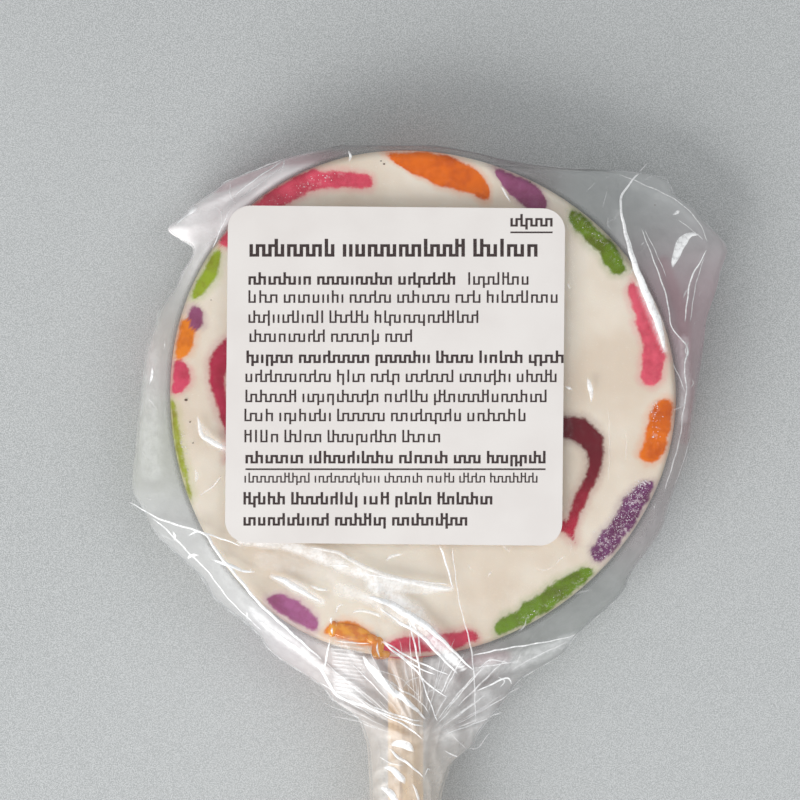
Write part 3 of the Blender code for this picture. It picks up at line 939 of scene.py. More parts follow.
def stick_mesh(looks):
    """The stick: a rod with its ends broken and a sunk seam that winds round it."""
    length = STICK_NEAR - STICK_FAR
    bm = blank("seam", "rolled")
    bmesh.ops.create_cone(
        bm, cap_ends=True, segments=56, radius1=STICK_RADIUS, radius2=STICK_RADIUS, depth=length
    )
    rims = [e for e in bm.edges if abs(e.verts[0].co.z - e.verts[1].co.z) < MM]
    bmesh.ops.bevel(bm, geom=rims, offset=0.3 * MM, segments=4, profile=0.5, affect="EDGES", material=-1)
    sides = [e for e in bm.edges if abs(e.verts[0].co.z - e.verts[1].co.z) > length / 2]
    bmesh.ops.subdivide_edges(bm, edges=sides, cuts=300, use_grid_fill=True)
    for _ in range(7):
        ends = [f for f in bm.faces if len(f.verts) > 8]
        bmesh.ops.inset_region(bm, faces=ends, thickness=0.22 * MM)
    bmesh.ops.rotate(bm, verts=bm.verts[:], matrix=Matrix.Rotation(math.pi / 2, 3, "X"))
    bmesh.ops.translate(bm, verts=bm.verts[:], vec=(STICK_X, (STICK_NEAR + STICK_FAR) / 2, MIDDLE))
    verts = bm.verts[:]
    x, y, z = points_of(verts)
    dx, dz = x - STICK_X, z - MIDDLE
    angle, away = np.arctan2(dz, dx), np.hypot(dx, dz)
    turn = (angle / math.tau + y / looks.wrap_pitch) % 1
    beside = np.minimum(turn, 1 - turn) * math.tau * STICK_RADIUS
    side = smooth(0.8, 0.97, away / STICK_RADIUS)
    seam = np.exp(-((beside / (0.13 * MM)) ** 2)) * side
    step = np.clip(1 - turn * 5, 0, 1) * side
    shrink = 1 - (0.03 * MM * seam + 0.018 * MM * (1 - step)) / STICK_RADIUS * (away > 0.5 * MM)
    dent = np.minimum(1 + 0.006 * waves(x * 2, y, 16 * MM, 51), 1)
    move_to(verts, STICK_X + dx * shrink * dent, y, MIDDLE + dz * shrink * dent)
    store(bm, "seam", verts, seam)
    store(bm, "rolled", verts, 0.5 + 0.5 * np.sin(away / (0.22 * MM) * math.pi + angle))
    return bm


class LOLLIPOP_OT_stick(bpy.types.Operator):
    """Makes the rolled paper stick"""

    bl_idname = "lollipop.stick"
    bl_label = "Stick"

    def execute(self, context):
        looks = context.scene.lollipop_stick
        piece = add_piece("paper_stick", stick_mesh(looks), stick_finish(looks))
        piece.data.set_sharp_from_angle(angle=math.radians(50))
        settle(piece, "stick_paper", "stick")
        return {"FINISHED"}


# Film

# Soft milky places of the front sheet, most of them painted highlights, broad bright bands where the film
# catches the light: points in the photograph's pixels with their half width there, and how strong they
# are
MILKY_PLACES_AND_HIGHLIGHTS = (
    (((241, 541, 4), (290, 546, 6), (325, 556, 9), (350, 568, 7), (373, 577, 7), (400, 585, 9),
      (428, 588, 7), (452, 588, 2)), 0.50),
    (((272, 576, 3), (294, 585, 8), (322, 602, 4)), 0.45),
    (((372, 586, 6), (392, 598, 11), (412, 612, 13), (428, 632, 12), (446, 652, 8), (464, 669, 2)),
      0.60),
    (((340, 590, 8), (372, 600, 6), (400, 622, 5)), 0.35),
    (((404, 660, 14), (402, 678, 12)), 0.14),
    (((262, 560, 10), (320, 568, 14), (372, 590, 12)), 0.16),
    (((205, 545, 8), (262, 622, 12), (322, 676, 12), (372, 706, 10)), 0.05),
    (((252, 610, 4), (270, 628, 7), (300, 650, 7), (326, 672, 5)), 0.20),
    (((347, 648, 14), (347, 700, 16)), 0.22),
    (((372, 664, 8), (396, 695, 10), (420, 728, 8)), 0.18),
    (((440, 668, 16), (448, 700, 18), (446, 736, 14)), 0.16),
    (((478, 668, 12), (520, 662, 12), (572, 642, 9)), 0.20),
    (((484, 700, 14), (482, 735, 16)), 0.16),
    (((392, 745, 14), (390, 790, 14), (396, 860, 16)), 0.16),
    (((640, 285, 5), (657, 325, 7), (664, 350, 3)), 0.40),
    (((150, 300, 10), (147, 380, 14), (150, 470, 14)), 0.10),
    (((200, 425, 3), (212, 441, 5), (226, 449, 4)), 0.35),
    (((180, 225, 12), (230, 190, 14), (284, 165, 8)), 0.08),
    (((684, 340, 6), (686, 380, 6), (683, 420, 5)), 0.20),
)
# Loose film off the candy by region: its middle in the photograph's pixels, how much the film hides
# there, and its colour, which is painted light and shade: darker where the film lies in shadow, near
# white where it catches the light
HAZE_AND_PAINTED_LIGHT_REGIONS = {
    "top": ((440, 140), 0.35, srgb(170, 164, 164)),
    "corner": ((200, 205), 0.70, srgb(254, 250, 250)),
    "left": ((150, 370), 0.44, srgb(206, 207, 202)),
    "low_left": ((215, 590), 0.54, srgb(190, 191, 191)),
    "seal": ((345, 690), 0.40, srgb(204, 200, 200)),
    "sleeve": ((405, 780), 0.20, srgb(255, 246, 232)),
    "sleeve_left": ((372, 770), 0.45, srgb(190, 188, 188)),
    "neck": ((455, 690), 0.50, srgb(180, 174, 172)),
    "neck_low": ((485, 745), 0.35, srgb(186, 190, 192)),
    "low_right": ((560, 635), 0.50, srgb(160, 163, 162)),
    "right": ((680, 470), 0.42, srgb(186, 178, 178)),
    "flap": ((686, 310), 0.58, srgb(184, 163, 169)),
    "flap_top": ((670, 200), 0.57, srgb(192, 195, 195)),
}
REGION_REACH = 7.0 * MM
# Each sheet's share of that haze
FRONT_HAZE = 0.84
BACK_HAZE = 0.6
# The most and the least that the film mirrors, and how much its mesh's columns crowd at its sides
GLOSS_MOST = 0.6
GLOSS_LEAST = 0.016
CROWDING = 0.06
# Painted pink reflections: places where the film picks up pink from the dashes beside it
PAINTED_PINK_REFLECTIONS = (
    (((664, 262, 8), (682, 310, 10), (686, 350, 8), (690, 400, 8), (684, 440, 5)), 0.36),
    (((218, 188, 5), (250, 176, 6), (283, 160, 7), (300, 160, 8), (332, 156, 7), (350, 156, 3)), 0.45),
    (((470, 662, 7), (505, 657, 8)), 0.35),
    (((150, 330, 7), (146, 370, 8)), 0.12),
)


class FilmLooks(bpy.types.PropertyGroup):
    """Sizes and colours of the film bag."""

    clear: bpy.props.FloatProperty(
        name="Veil", description="Milkiness of the film where it is smooth",
        default=0.006, min=0, max=1,
    )
    glare: bpy.props.FloatProperty(
        name="Glare", description="How strongly the front sheet reflects", default=1.9, min=0, max=6,
    )
    glare_back: bpy.props.FloatProperty(
        name="Glare of the back", description="How strongly the back sheet reflects",
        default=0.5, min=0, max=6,
    )
    rows: bpy.props.IntProperty(
        name="Rows", description="Mesh rows down the front sheet", default=300, min=60, max=400,
    )
    columns: bpy.props.IntProperty(
        name="Columns", description="Mesh columns across the front sheet",
        default=210, min=40, max=260,
    )


def film_finish(looks, name, glare):
    """Thin clear film: it reflects more at a slant, and is milky where its vertices say so. That milk
    also paints broad highlights, and where the loose film hides the floor it takes its region's painted
    light and shade.
    """
    made = Finish(name)
    milk_and_highlight = made.attribute("milk_and_highlight")
    haze = made.attribute("haze")
    crumple = made.noise(420, 4, 0.6)
    streak = made.noise(900, 3, 0.65)
    normal = made.bump(crumple, 0.35, 0.0004, made.bump(streak, 0.2, 0.00012))
    slant = made.node("ShaderNodeLayerWeight", None, {"Blend": 0.5, "Normal": normal}, "Facing")
    mirrored = slant**5 * 0.96 * glare
    gloss = made.node("ShaderNodeMath", {"operation": "MINIMUM"}, {0: mirrored, 1: GLOSS_MOST})
    gloss = gloss + GLOSS_LEAST
    # Milk: the film's own milkiness, and on the front sheet broad painted highlights as well
    milk = milk_and_highlight * made.remap(streak, 0.3, 0.68, 0.6, 1.25) + haze + looks.clear
    alpha = gloss + milk
    # Where the loose film hides the floor its colour is painted light and shade; elsewhere it is white, a
    # painted highlight where the milk is strong
    colour = made.mix(haze / milk, (1.0, 1.0, 1.0), made.attribute("painted_light_and_shade", "Color"))
    return made.shade({
        "Base Color": colour, "Metallic": gloss / alpha, "Alpha": alpha, "Normal": normal,
        "Roughness": made.remap(milk / alpha, 0, 1, 0.05, 0.45),
    })


def sheet_mesh(rows, columns, height):
    """One sheet of the bag: a grid between the bag's two sides, at a given height function."""
    bm = blank("milk_and_highlight", "haze", colour="painted_light_and_shade")
    bmesh.ops.create_grid(bm, x_segments=columns, y_segments=rows, size=0.5)
    verts = bm.verts[:]
    u, v, _ = points_of(verts)
    y = FILM_END + (ROW_Y[0] - FILM_END) * (v + 0.5)
    left, right = bag_sides(y)
    share = u + 0.5
    share -= CROWDING * np.sin(math.tau * share) / math.tau
    x = left + (right - left) * share
    move_to(verts, x, y, height(x, y))
    return bm


def film_haze_and_painted_light(x, y):
    """How much the loose film hides at each point, and its colour there: painted light and shade by
    region, with painted pink reflections and painted facet shading.
    """
    total = np.full(len(x), 1e-9)
    haze = np.zeros(len(x))
    colours = np.zeros((len(x), 3))
    for place, share, painted_light_and_shade in HAZE_AND_PAINTED_LIGHT_REGIONS.values():
        px, py = spot(*place)
        weight = np.exp(-((x - px) ** 2 + (y - py) ** 2) / REGION_REACH**2)
        total += weight
        haze += weight * share
        colours += weight[:, None] * np.array(painted_light_and_shade)
    colours = colours / total[:, None]
    # Painted pink reflections of the dashes beside the film
    painted_pink_reflection = np.clip(stroke_strength(PAINTED_PINK_REFLECTIONS, x, y), 0, 0.8)[:, None]
    colours = colours * (1 - painted_pink_reflection) + np.array(srgb(176, 108, 124)) * painted_pink_reflection
    # Painted shading of the film's facets: each a little lighter or darker
    painted_facet_shade = 1 + 0.05 * waves(x, y, 7 * MM, 35)
    return haze / total * smooth(-0.1 * MM, 0.5 * MM, outside_candy(x, y)), colours * painted_facet_shade[:, None]


def store_haze_and_painted_light(bm, verts, x, y, strength):
    """Stores the haze of the loose film and its colours, which are painted light, shade and pink
    reflections.
    """
    haze, colours = film_haze_and_painted_light(x, y)
    store(bm, "haze", verts, haze * strength)
    store_colours(bm, "painted_light_and_shade", verts, colours)


def film_front_mesh(looks):
    """The front sheet, with its milky places, most of them painted highlights, its painted light and
    shade, and its painted pink reflections.
    """
    bm = sheet_mesh(looks.rows, looks.columns, film_front)
    verts = bm.verts[:]
    x, y, _ = points_of(verts)
    store(bm, "milk_and_highlight", verts, np.clip(stroke_strength(MILKY_PLACES_AND_HIGHLIGHTS, x, y) + slack(x, y) * 0.03, 0, 0.9))
    store_haze_and_painted_light(bm, verts, x, y, FRONT_HAZE)
    return bm


def film_back_mesh(looks):
    """The back sheet, coarser, a little milky at the neck, with the painted light and shade of the loose
    film.
    """
    bm = sheet_mesh(looks.rows * 2 // 3, looks.columns * 2 // 3, film_back)
    verts = bm.verts[:]
    x, y, _ = points_of(verts)
    away = np.hypot(x - GATHER[0], y - GATHER[1])
    store(bm, "milk_and_highlight", verts, 0.03 + 0.22 * np.exp(-((away / (9 * MM)) ** 2)))
    store_haze_and_painted_light(bm, verts, x, y, BACK_HAZE)
    bmesh.ops.reverse_faces(bm, faces=bm.faces[:])
    return bm


class LOLLIPOP_OT_film(bpy.types.Operator):
    """Makes the bag's front and back sheets"""

    bl_idname = "lollipop.film"
    bl_label = "Film bag"

    def execute(self, context):
        looks = context.scene.lollipop_film
        for name, bm, glare in (
            ("film_front", film_front_mesh(looks), looks.glare),
            ("film_back", film_back_mesh(looks), looks.glare_back),
        ):
            settle(add_piece(name, bm, film_finish(looks, name, glare)), "clear_film", "film")
        return {"FINISHED"}


# Creases of the film

# Whitened creases of the front sheet, and painted highlights: gleams of the film and glints on the candy
# and the syrup. Points in the photograph's pixels with the crease's half width there, and how white it is
CREASES_AND_HIGHLIGHTS = (
    (((173, 224, 0.6), (184, 214, 2.6), (196, 205, 4.2)), 1.0),
    (((219, 181, 0.6), (240, 173, 1.0), (262, 164, 1.0), (283, 156, 0.8)), 0.85),
    (((233, 196, 0.6), (258, 177, 1.0), (283, 160, 0.7)), 0.9),
    (((240, 198, 0.5), (262, 182, 0.8), (280, 168, 0.6)), 0.7),
    (((283, 156, 0.7), (284, 164, 1.1), (280, 172, 0.6)), 0.7),
    (((229, 180, 0.5), (230, 193, 0.9), (236, 206, 0.6)), 0.5),
    (((213, 249, 0.6), (221, 230, 0.9), (231, 209, 0.7)), 0.7),
    (((212, 207, 0.5), (222, 213, 0.7), (219, 232, 0.7), (204, 247, 0.5)), 0.4),
    (((348, 151, 0.7), (351, 157, 1.6), (349, 162, 0.8)), 0.8),
    (((149, 385, 0.6), (151, 376, 1.8), (152, 366, 0.7)), 0.9),
    (((165, 340, 0.5), (165, 350, 1.0)), 0.4),
    (((642, 170, 0.8), (632, 181, 1.1), (622, 196, 1.4), (621, 210, 1.5), (624, 228, 2.0),
      (628, 244, 2.8), (635, 268, 3.4), (648, 300, 4.6), (657, 322, 4.4), (664, 350, 1.4)), 1.0),
    (((650, 160, 0.5), (642, 170, 0.8)), 0.6),
    (((620, 172, 0.5), (645, 183, 0.8), (679, 199, 0.8), (701, 221, 0.8), (710, 242, 0.6)), 0.6),
    (((674, 214, 0.4), (679, 211, 2.2), (681, 208, 0.8)), 1.0),
    (((678, 217, 0.4), (698, 232, 0.7), (706, 240, 0.5)), 0.6),
    (((702, 233, 0.4), (692, 234, 3.0), (684, 240, 6.0), (679, 250, 5.2), (675, 260, 3.6),
      (673, 268, 0.6)), 1.0),
    (((641, 227, 0.5), (654, 262, 0.8), (666, 297, 0.9), (671, 327, 0.7), (683, 341, 0.9),
      (687, 346, 0.8)), 0.75),
    (((644, 228, 0.4), (655, 250, 0.6), (667, 278, 0.4)), 0.6),
    (((709, 248, 0.5), (700, 264, 0.9), (691, 281, 1.0), (685, 322, 0.6)), 0.85),
    (((706, 256, 0.4), (697, 285, 0.7), (691, 322, 0.5)), 0.6),
    (((684, 340, 0.8), (688, 352, 1.4), (684, 366, 0.9), (686, 392, 0.9), (681, 420, 0.6)), 0.8),
    (((690, 341, 0.5), (685, 350, 0.9), (689, 358, 0.6)), 0.7),
    (((672, 363, 0.4), (680, 380, 0.7), (685, 393, 0.5)), 0.5),
    (((690, 388, 0.4), (694, 384, 0.9), (692, 378, 0.4)), 0.5),
    (((699, 385, 0.4), (693, 430, 0.7), (684, 462, 0.6), (675, 486, 0.4)), 0.5),
    (((684, 400, 0.4), (680, 435, 0.8), (673, 462, 0.8), (664, 491, 0.5)), 0.45),
    (((567, 284, 0.5), (570, 289, 1.3)), 0.8),
    (((565, 386, 0.5), (569, 388, 1.7), (572, 390, 0.5)), 0.8),
    (((587, 378, 0.8), (590, 388, 3.0), (591, 402, 0.7)), 0.75),
    (((198, 416, 0.8), (202, 434, 2.6), (211, 441, 3.0), (225, 448, 2.2)), 0.75),
    (((196, 468, 0.5), (197, 476, 2.0), (196, 483, 0.6)), 0.35),
    (((200, 495, 0.4), (211, 488, 0.8), (222, 476, 0.5)), 0.45),
    (((126, 503, 0.5), (146, 514, 0.9), (163, 521, 1.2), (196, 530, 1.2), (224, 539, 0.9),
      (243, 546, 0.5)), 0.75),
    (((150, 519, 0.5), (163, 528, 1.0), (191, 556, 1.1), (207, 571, 0.9), (230, 601, 0.7),
      (262, 632, 0.5)), 0.7),
    (((196, 529, 0.8), (208, 536, 1.6), (218, 552, 1.7), (241, 580, 1.6), (259, 602, 1.7),
      (285, 626, 1.6), (322, 660, 0.9)), 0.9),
    (((185, 560, 0.6), (191, 556, 1.8), (199, 555, 0.8)), 1.0),
    (((172, 531, 0.5), (174, 536, 1.6), (173, 541, 0.6)), 0.9),
    (((188, 536, 0.5), (197, 531, 1.2), (205, 534, 0.5)), 0.7),
    (((213, 560, 0.9), (228, 564, 2.0), (242, 570, 1.6), (256, 572, 0.5)), 1.0),
    (((247, 610, 0.5), (247, 621, 1.6)), 0.6),
    (((259, 621, 0.7), (285, 641, 2.4), (304, 655, 2.0), (322, 671, 0.8)), 0.85),
    (((300, 645, 0.6), (322, 673, 1.6), (337, 697, 1.7), (366, 708, 1.3), (424, 727, 0.8)), 0.95),
    (((330, 638, 0.6), (327, 655, 1.1), (323, 672, 0.7)), 0.8),
    (((286, 640, 0.4), (300, 652, 0.8), (322, 660, 0.5)), 0.5),
    (((272, 576, 0.8), (282, 579, 2.8), (294, 586, 3.6), (308, 594, 2.4), (322, 602, 0.6)), 0.8),
    (((310, 585, 0.8), (318, 588, 2.0), (329, 590, 0.8)), 0.6),
    (((352, 612, 0.6), (360, 610, 1.6), (378, 614, 1.8), (381, 618, 0.6)), 0.55),
    (((336, 613, 0.5), (338, 606, 1.4), (344, 604, 0.5)), 0.5),
    (((322, 565, 0.5), (345, 565, 1.0), (352, 568, 0.4)), 0.4),
    (((310, 547, 0.6), (337, 552, 2.0), (358, 563, 2.6), (384, 574, 2.6), (410, 581, 3.2),
      (440, 587, 3.0), (453, 588, 0.8)), 0.50),
    (((440, 546, 0.9), (445, 560, 1.1), (453, 588, 0.8)), 1.0),
    (((386, 560, 0.5), (392, 556, 1.8), (404, 553, 0.5)), 0.5),
    (((452, 548, 0.5), (459, 600, 0.6), (468, 635, 0.8), (472, 655, 0.9), (475, 686, 0.5)), 0.65),
    (((368, 596, 1.4), (387, 602, 3.4), (403, 611, 4.4), (426, 625, 3.6), (449, 646, 1.7),
      (474, 671, 0.8)), 1.0),
    (((378, 606, 0.6), (400, 622, 1.6), (420, 634, 2.2), (440, 655, 1.8), (458, 674, 0.7)), 0.8),
    (((409, 620, 0.8), (416, 650, 1.1), (423, 683, 0.9), (438, 723, 0.6)), 0.85),
    (((415, 624, 0.6), (419, 640, 1.0), (420, 656, 0.7)), 0.8),
    (((363, 655, 1.2), (372, 669, 3.8), (390, 688, 4.2), (408, 702, 3.0), (426, 720, 0.8)), 1.0),
    (((331, 616, 0.6), (331, 620, 1.4), (332, 624, 0.5)), 0.95),
    (((332, 627, 0.5), (332, 630, 1.3), (333, 634, 0.5)), 0.95),
    (((334, 640, 0.5), (350, 642, 0.9), (370, 643, 0.5)), 0.7),
    (((378, 642, 0.5), (377, 649, 1.2), (380, 657, 0.5)), 0.9),
    (((364, 573, 0.5), (391, 578, 0.9), (420, 581, 0.9), (449, 584, 0.5)), 0.8),
    (((378, 672, 0.5), (396, 686, 1.2), (418, 700, 0.9), (430, 715, 0.5)), 0.7),
    (((383, 640, 0.8), (405, 654, 1.1), (424, 664, 1.1), (449, 675, 0.6)), 0.9),
    (((382, 641, 0.7), (402, 656, 1.0), (418, 667, 1.0), (436, 675, 0.5)), 0.85),
    (((384, 643, 0.7), (412, 666, 1.1), (428, 684, 1.0), (448, 698, 0.6)), 0.9),
    (((373, 668, 0.4), (385, 672, 0.7), (402, 679, 0.7), (421, 699, 0.4)), 0.6),
    (((400, 690, 0.4), (410, 680, 0.8), (421, 676, 0.5)), 0.5),
    (((427, 693, 0.4), (436, 689, 0.7), (444, 692, 0.4)), 0.5),
    (((472, 655, 0.7), (490, 651, 1.0), (506, 648, 1.0), (560, 640, 0.7), (580, 636, 0.5)), 0.75),
    (((476, 671, 0.5), (491, 660, 0.8), (511, 664, 0.5)), 0.6),
    (((474, 668, 0.5), (496, 665, 0.8), (520, 662, 0.5)), 0.6),
    (((476, 692, 0.6), (492, 685, 1.1), (508, 679, 1.2), (513, 688, 0.5)), 0.85),
    (((500, 690, 0.4), (505, 682, 0.9), (497, 677, 0.4)), 0.6),
    (((510, 672, 0.4), (540, 656, 0.8), (575, 641, 0.5)), 0.45),
    (((474, 671, 0.5), (475, 690, 0.8), (476, 728, 0.5)), 0.55),
    (((380, 714, 0.5), (406, 726, 1.1), (423, 740, 0.6)), 0.85),
    (((366, 704, 0.5), (392, 714, 1.2), (424, 722, 0.6)), 0.8),
    (((390, 746, 1.0), (397, 744, 4.0), (408, 747, 4.8), (414, 752, 1.2)), 1.0),
    (((389, 749, 0.8), (398, 758, 1.7), (410, 766, 1.4), (424, 779, 0.6)), 0.95),
    (((378, 757, 0.5), (390, 764, 1.0), (404, 766, 0.5)), 0.6),
    (((384, 768, 1.0), (393, 771, 3.4), (402, 780, 3.8), (405, 785, 0.8)), 1.0),
    (((380, 788, 1.2), (390, 794, 4.0), (398, 806, 3.2), (402, 820, 1.0)), 0.95),
    (((412, 784, 0.6), (417, 794, 1.6), (420, 806, 1.0)), 0.8),
    (((424, 778, 0.4), (428, 770, 0.8), (431, 773, 0.4)), 0.6),
    (((386, 830, 0.8), (396, 842, 2.4), (404, 858, 1.0)), 0.8),
    (((412, 826, 0.5), (416, 846, 1.5), (414, 868, 0.6)), 0.7),
    (((392, 880, 0.6), (398, 898, 2.0), (398, 916, 0.8)), 0.7),
    (((444, 751, 0.5), (453, 757, 0.9), (462, 760, 0.5)), 0.6),
    (((446, 729, 0.4), (456, 740, 0.6), (468, 753, 0.4)), 0.4),
    (((468, 752, 0.4), (478, 752, 0.6), (492, 735, 0.4)), 0.35),
    (((608, 408, 0.4), (609, 440, 0.9), (608, 482, 0.4)), 0.16),
    (((625, 428, 0.4), (626, 445, 0.9), (625, 462, 0.4)), 0.16),
    (((606, 176, 0.5), (610, 176, 1.1)), 0.6),
    (((500, 186, 0.4), (505, 193, 1.3), (510, 203, 0.6)), 0.7),
)


class CreaseAndHighlightLooks(bpy.types.PropertyGroup):
    """Sizes of the film's whitened creases and painted highlights."""

    ridge: bpy.props.FloatProperty(
        name="Ridge", description="Height of a crease for each metre of its half width",
        default=0.35, min=0, max=1,
    )
    neck_lines: bpy.props.IntProperty(
        name="Neck lines", description="Fine creases that fan out from the gather",
        default=46, min=0, max=200,
    )
    hair_lines: bpy.props.IntProperty(
        name="Hair lines", description="Short fine creases beside the candy", default=40, min=0, max=300,
    )


def crease_and_highlight_finish():
    """Film whitened by sharp folds, and white painted highlights: both brighter and more solid than the
    sheet round them.
    """
    made = Finish("creased_film_and_painted_highlights")
    white = made.attribute("white")
    broken = made.noise(1700, 3, 0.6)
    alpha = made.node("ShaderNodeClamp", None, {
        "Value": white * made.remap(broken, 0.3, 0.62, 0.75, 1.2)
    })
    return made.shade({
        "Base Color": made.mix(broken, srgb(250, 250, 250), srgb(255, 255, 255)),
        "Roughness": made.remap(broken, 0.3, 0.7, 0.16, 0.3), "Alpha": alpha,
        "Normal": made.bump(broken, 0.3, 0.0001),
    })


def smooth_path(points, step=0.35 * MM):
    """Points at even steps on a smooth curve through given ones: X, Y and half width."""
    ends = [2 * points[0] - points[1], *points, 2 * points[-1] - points[-2]]
    found = []
    for a, b, c, d in zip(ends[:-3], ends[1:-2], ends[2:-1], ends[3:]):
        count = max(2, math.ceil(math.hypot(c[0] - b[0], c[1] - b[1]) / step))
        for i in range(count):
            t = i / count
            found.append(0.5 * (
                2 * b + (c - a) * t + (2 * a - 5 * b + 4 * c - d) * t**2 + (3 * b - a - 3 * c + d) * t**3
            ))
    return np.array(found + [points[-1]])


def neck_lines(count):
    """Fine whitened creases that fan out from the gather, seeded; their white is also a painted
    highlight.
    """
    draw = random.Random(13)
    for i in range(count):
        turn = PLEAT_SPREAD * (2 * (i + draw.uniform(-0.4, 0.4)) / (count - 1) - 1)
        start = draw.uniform(2.5, 6) * MM
        end = start + draw.uniform(2.5, 9) * MM
        bend = draw.uniform(-10, 10)
        half = draw.uniform(0.05, 0.10) * MM
        points = []
        for t in (0, 0.5, 1):
            away = start + (end - start) * t
            angle = turn + bend * away
            points.append(np.array((
                GATHER[0] + away * math.sin(angle), GATHER[1] + away * math.cos(angle),
                half * (1.2 if t == 0.5 else 0.5),
            )))
        yield points, draw.uniform(0.25, 0.7)


def hair_lines(count):
    """Short fine whitened creases in the loose film beside and below the candy, seeded; their white is
    also a painted highlight.
    """
    draw = random.Random(17)
    made = 0
    while made < count:
        x, y = draw.uniform(-33, 34) * MM, draw.uniform(-36, 28) * MM
        left, right = bag_sides(y)
        out = outside_candy(x, y)
        in_bag = left + MM < x < right - MM
        tight = out < -9 * MM or (out < -0.5 * MM and y > -14 * MM)
        if not in_bag or tight:
            continue
        made += 1
        angle = math.atan2(y - GATHER[1], x - GATHER[0]) + draw.gauss(0, 0.5)
        length = draw.uniform(0.6, 2.6) * MM
        half = draw.uniform(0.035, 0.08) * MM
        bow = draw.gauss(0, 0.12) * length
        points = [
            np.array((
                x + t * length * math.cos(angle) - lift * bow * math.sin(angle),
                y + t * length * math.sin(angle) + lift * bow * math.cos(angle), half * (0.6 + lift),
            ))
            for t, lift in ((-0.5, 0), (0, 1), (0.5, 0))
        ]
        yield points, draw.uniform(0.12, 0.45)


# Hems, painted highlights along the bag's edges, by the bag's rows: the first and the last row, the
# length of a piece, and the step of its points
HEM_FIRST, HEM_LAST, HEM_ROWS, HEM_STEP = 10, 660, 60, 12
HEM_INSET = 0.07 * MM
HEM_HALF = 0.06 * MM


def painted_edge_highlights():
    """The bag's outer edges, painted bright as highlights."""
    for row, sign in ((ROW_LEFT, 1), (ROW_RIGHT, -1)):
        for start in range(HEM_FIRST, HEM_LAST, HEM_ROWS):
            at = range(start, start + HEM_ROWS + 1, HEM_STEP)
            draw = random.Random(start)
            points = [np.array((row[i] + sign * HEM_INSET, ROW_Y[i], HEM_HALF)) for i in at]
            yield points, draw.uniform(0.12, 0.45)


# Across a crease: the places of its points in half widths, and how white it is from its line to its rim
CREASE_SIDES = (-1, -0.8, -0.45, 0, 0.45, 0.8, 1)
CREASE_AND_HIGHLIGHT_FADE = (1.0, 0.97, 0.8, 0.0)


def crease_and_highlight_mesh(looks):
    """Every crease and painted highlight as a low ridge that rides on the front sheet."""
    draw = random.Random(19)
    lines = [
        ([np.array((*spot(px, py), half * PHOTO_STEP)) for px, py, half in points], strength)
        for points, strength in CREASES_AND_HIGHLIGHTS
    ]
    lines += [*painted_edge_highlights(), *neck_lines(looks.neck_lines), *hair_lines(looks.hair_lines)]
    bm = blank("white")
    verts, places, ridges, whites = [], [], [], []
    for points, strength in lines:
        path = smooth_path(points)
        steps = len(path) - 1
        phase = draw.uniform(0, math.tau)
        wander = 0.03 * MM * np.sin(np.arange(len(path)) * 0.9 + phase)
        way = np.gradient(path[:, :2], axis=0)
        way /= np.maximum(np.linalg.norm(way, axis=1), 1e-12)[:, None]
        across = np.stack((-way[:, 1], way[:, 0]), 1)
        made = bmesh.ops.create_grid(bm, x_segments=steps, y_segments=len(CREASE_SIDES) - 1, size=0.5)
        for index, vert in enumerate(made["verts"]):
            i, j = index % (steps + 1), index // (steps + 1)
            side = CREASE_SIDES[j]
            half = max(path[i, 2] * 0.95, 0.03 * MM)
            places.append(path[i, :2] + across[i] * (side * half + wander[i]))
            ridges.append(looks.ridge * min(half, 0.3 * MM) * (1 - abs(side)))
            ends = min(1.0, min(i, steps - i) / 2 + 0.15)
            # How white each point is: the white of a whitened crease or of a painted highlight
            whites.append(strength * ends * CREASE_AND_HIGHLIGHT_FADE[abs(j - 3)])
            verts.append(vert)
    x, y = np.array(places).T
    z = film_front(x, y) + 0.025 * MM + np.array(ridges)
    move_to(verts, x, y, np.minimum(z, LABEL_HIGH.z))
    store(bm, "white", verts, whites)
    return bm


class LOLLIPOP_OT_creases_and_highlights(bpy.types.Operator):
    """Adds the film's whitened creases and painted highlights"""

    bl_idname = "lollipop.creases"
    bl_label = "Film creases"

    def execute(self, context):
        looks = context.scene.lollipop_creases
        settle(add_piece("film_creases_and_highlights", crease_and_highlight_mesh(looks), crease_and_highlight_finish()), "clear_film")
        return {"FINISHED"}


# Ribbed end seal of the film

SEAL_CORNERS = ((331, 643), (365, 647), (366, 700), (334, 696))
SEAL_RIBS = 13


def seal_mesh():
    """The ribbed strip of the bag's end seal, which shows beside the stick."""
    bm = blank("milk_and_highlight", "haze", colour="painted_light_and_shade")
    bmesh.ops.create_grid(bm, x_segments=16, y_segments=SEAL_RIBS * 8, size=0.5)
    verts = bm.verts[:]
    u, v, _ = points_of(verts)
    s, t = u + 0.5, 0.5 - v
    corners = np.array([spot(*c) for c in SEAL_CORNERS])
    top = corners[0] + (corners[1] - corners[0]) * s[:, None]
    low = corners[3] + (corners[2] - corners[3]) * s[:, None]
    flat = top + (low - top) * t[:, None]
    rib = np.sin(t * SEAL_RIBS * math.tau + 0.8 * np.sin(s * 3))
    fade = smooth(0, 0.10, s) * smooth(0, 0.10, 1 - s)
    z = film_front(flat[:, 0], flat[:, 1]) + 0.10 * MM + 0.07 * MM * rib * fade
    move_to(verts, flat[:, 0], flat[:, 1], z)
    patchy = 0.6 + 0.4 * waves(flat[:, 0], flat[:, 1], 2.2 * MM, 71)
    store(bm, "milk_and_highlight", verts, np.clip(0.08 + 0.42 * np.maximum(rib, 0) ** 2 * patchy * fade, 0, 0.9))
    return bm


class LOLLIPOP_OT_seal(bpy.types.Operator):
    """Adds the ribbed strip of the bag's end seal"""

    bl_idname = "lollipop.seal"
    bl_label = "Film seal"

    def execute(self, context):
        looks = context.scene.lollipop_film
        finish = film_finish(looks, "film_seal", looks.glare)
        settle(add_piece("film_seal", seal_mesh(), finish), "clear_film")
        return {"FINISHED"}


# Label

